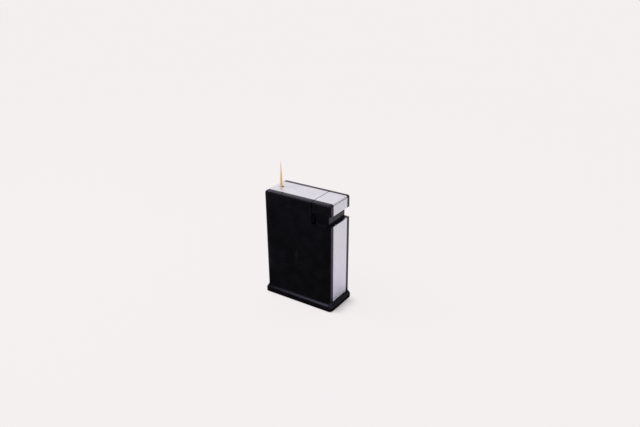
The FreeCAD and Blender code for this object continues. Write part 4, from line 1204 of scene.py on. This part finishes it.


# cards seen only in reflections: painted shade in the reflections of the near side, the foot and the silver
# strips
def reflectionCards():
    darkReflectionTone = cardSurface("paintedDarkReflection", *stageSettings["darkReflectionTone"])
    dimReflectionTone = cardSurface("paintedDimReflection", *stageSettings["dimReflectionTone"])
    flat = stageSettings["cardLevels"]
    cards = (
        ("lowCard", flat, "z", darkReflectionTone),
        ("sideCard", flat, "z", darkReflectionTone),
        ("paleCard", flat, "z", dimReflectionTone),
        ("backCard", stageSettings["backCardPlace"], "y", darkReflectionTone),
        ("frontCard", stageSettings["frontCardPlace"], "y", darkReflectionTone),
    )
    for name, levels, axis, material in cards:
        card = prismPiece(name, stageSettings[name], *levels, axis)
        card.data.materials.append(material)
        for kind in ("camera", "diffuse", "transmission", "volume_scatter", "shadow"):
            setattr(card, "visible_" + kind, False)  # it only shows in reflections, as painted shade


lampSettings = {
    "aim": Vector((0, 0, 0.05)),
    "lamps": {
        "rimLamp": {"azimuth": 71, "elevation": 44, "distance": 1.1, "size": 0.7, "power": 5.0},
        "baseLamp": {"azimuth": 28.5, "elevation": 26, "distance": 1.0, "size": 0.2, "power": 0.62},
    },
}


def softLamp(name, azimuth, elevation, distance, size, power):
    turn, rise = math.radians(azimuth), math.radians(elevation)
    away = Vector((-math.sin(turn) * math.cos(rise), -math.cos(turn) * math.cos(rise), math.sin(rise)))
    light = bpy.data.lights.new(name, "AREA")
    light.shape = "SQUARE"
    light.size = size
    light.energy = power
    lamp = bpy.data.objects.new(name, light)
    bpy.context.scene.collection.objects.link(lamp)
    lamp.location = lampSettings["aim"] + away * distance
    lamp.rotation_mode = "QUATERNION"
    lamp.rotation_quaternion = away.to_track_quat("Z", "Y")


cameraSettings = {
    "imageWidth": 640,
    "imageHeight": 427,
    "azimuth": 34.643,
    "elevation": 26.618,
    "roll": -0.798,
    "distance": 0.51362,
    "focal": 592.942,  # in pixels of the image width
    "aim": Vector((0, 0, 0.049)),
    "aimPixel": (307.476, 244.865),
    "sensor": 36,
    "clip": (0.01, 50),
}


def studioCamera():
    turn, rise, roll = [math.radians(cameraSettings[name]) for name in ("azimuth", "elevation", "roll")]
    back = Vector((math.sin(turn) * math.cos(rise), -math.cos(turn) * math.cos(rise), math.sin(rise)))
    right = back.cross(Vector((0, 0, -1))).normalized()
    up = back.cross(right)
    width, height = cameraSettings["imageWidth"], cameraSettings["imageHeight"]
    data = bpy.data.cameras.new("studioCamera")
    data.sensor_width = cameraSettings["sensor"]
    data.lens = cameraSettings["focal"] * cameraSettings["sensor"] / width
    data.shift_x = (width / 2 - cameraSettings["aimPixel"][0]) / width
    data.shift_y = (cameraSettings["aimPixel"][1] - height / 2) / width
    data.clip_start, data.clip_end = cameraSettings["clip"]
    camera = bpy.data.objects.new("studioCamera", data)
    bpy.context.scene.collection.objects.link(camera)
    tiltedRight = right * math.cos(roll) + up * math.sin(roll)
    tiltedUp = up * math.cos(roll) - right * math.sin(roll)
    turned = Matrix((tiltedRight, tiltedUp, back)).transposed().to_4x4()
    turned.translation = cameraSettings["aim"] + back * cameraSettings["distance"]
    camera.matrix_world = turned
    bpy.context.scene.camera = camera


paleFloor()
paleWorld()
reflectionCards()
for lampName, lampPlace in lampSettings["lamps"].items():
    softLamp(lampName, **lampPlace)
studioCamera()
bpy.context.scene.view_settings.view_transform = "Standard"
print("stage ready")
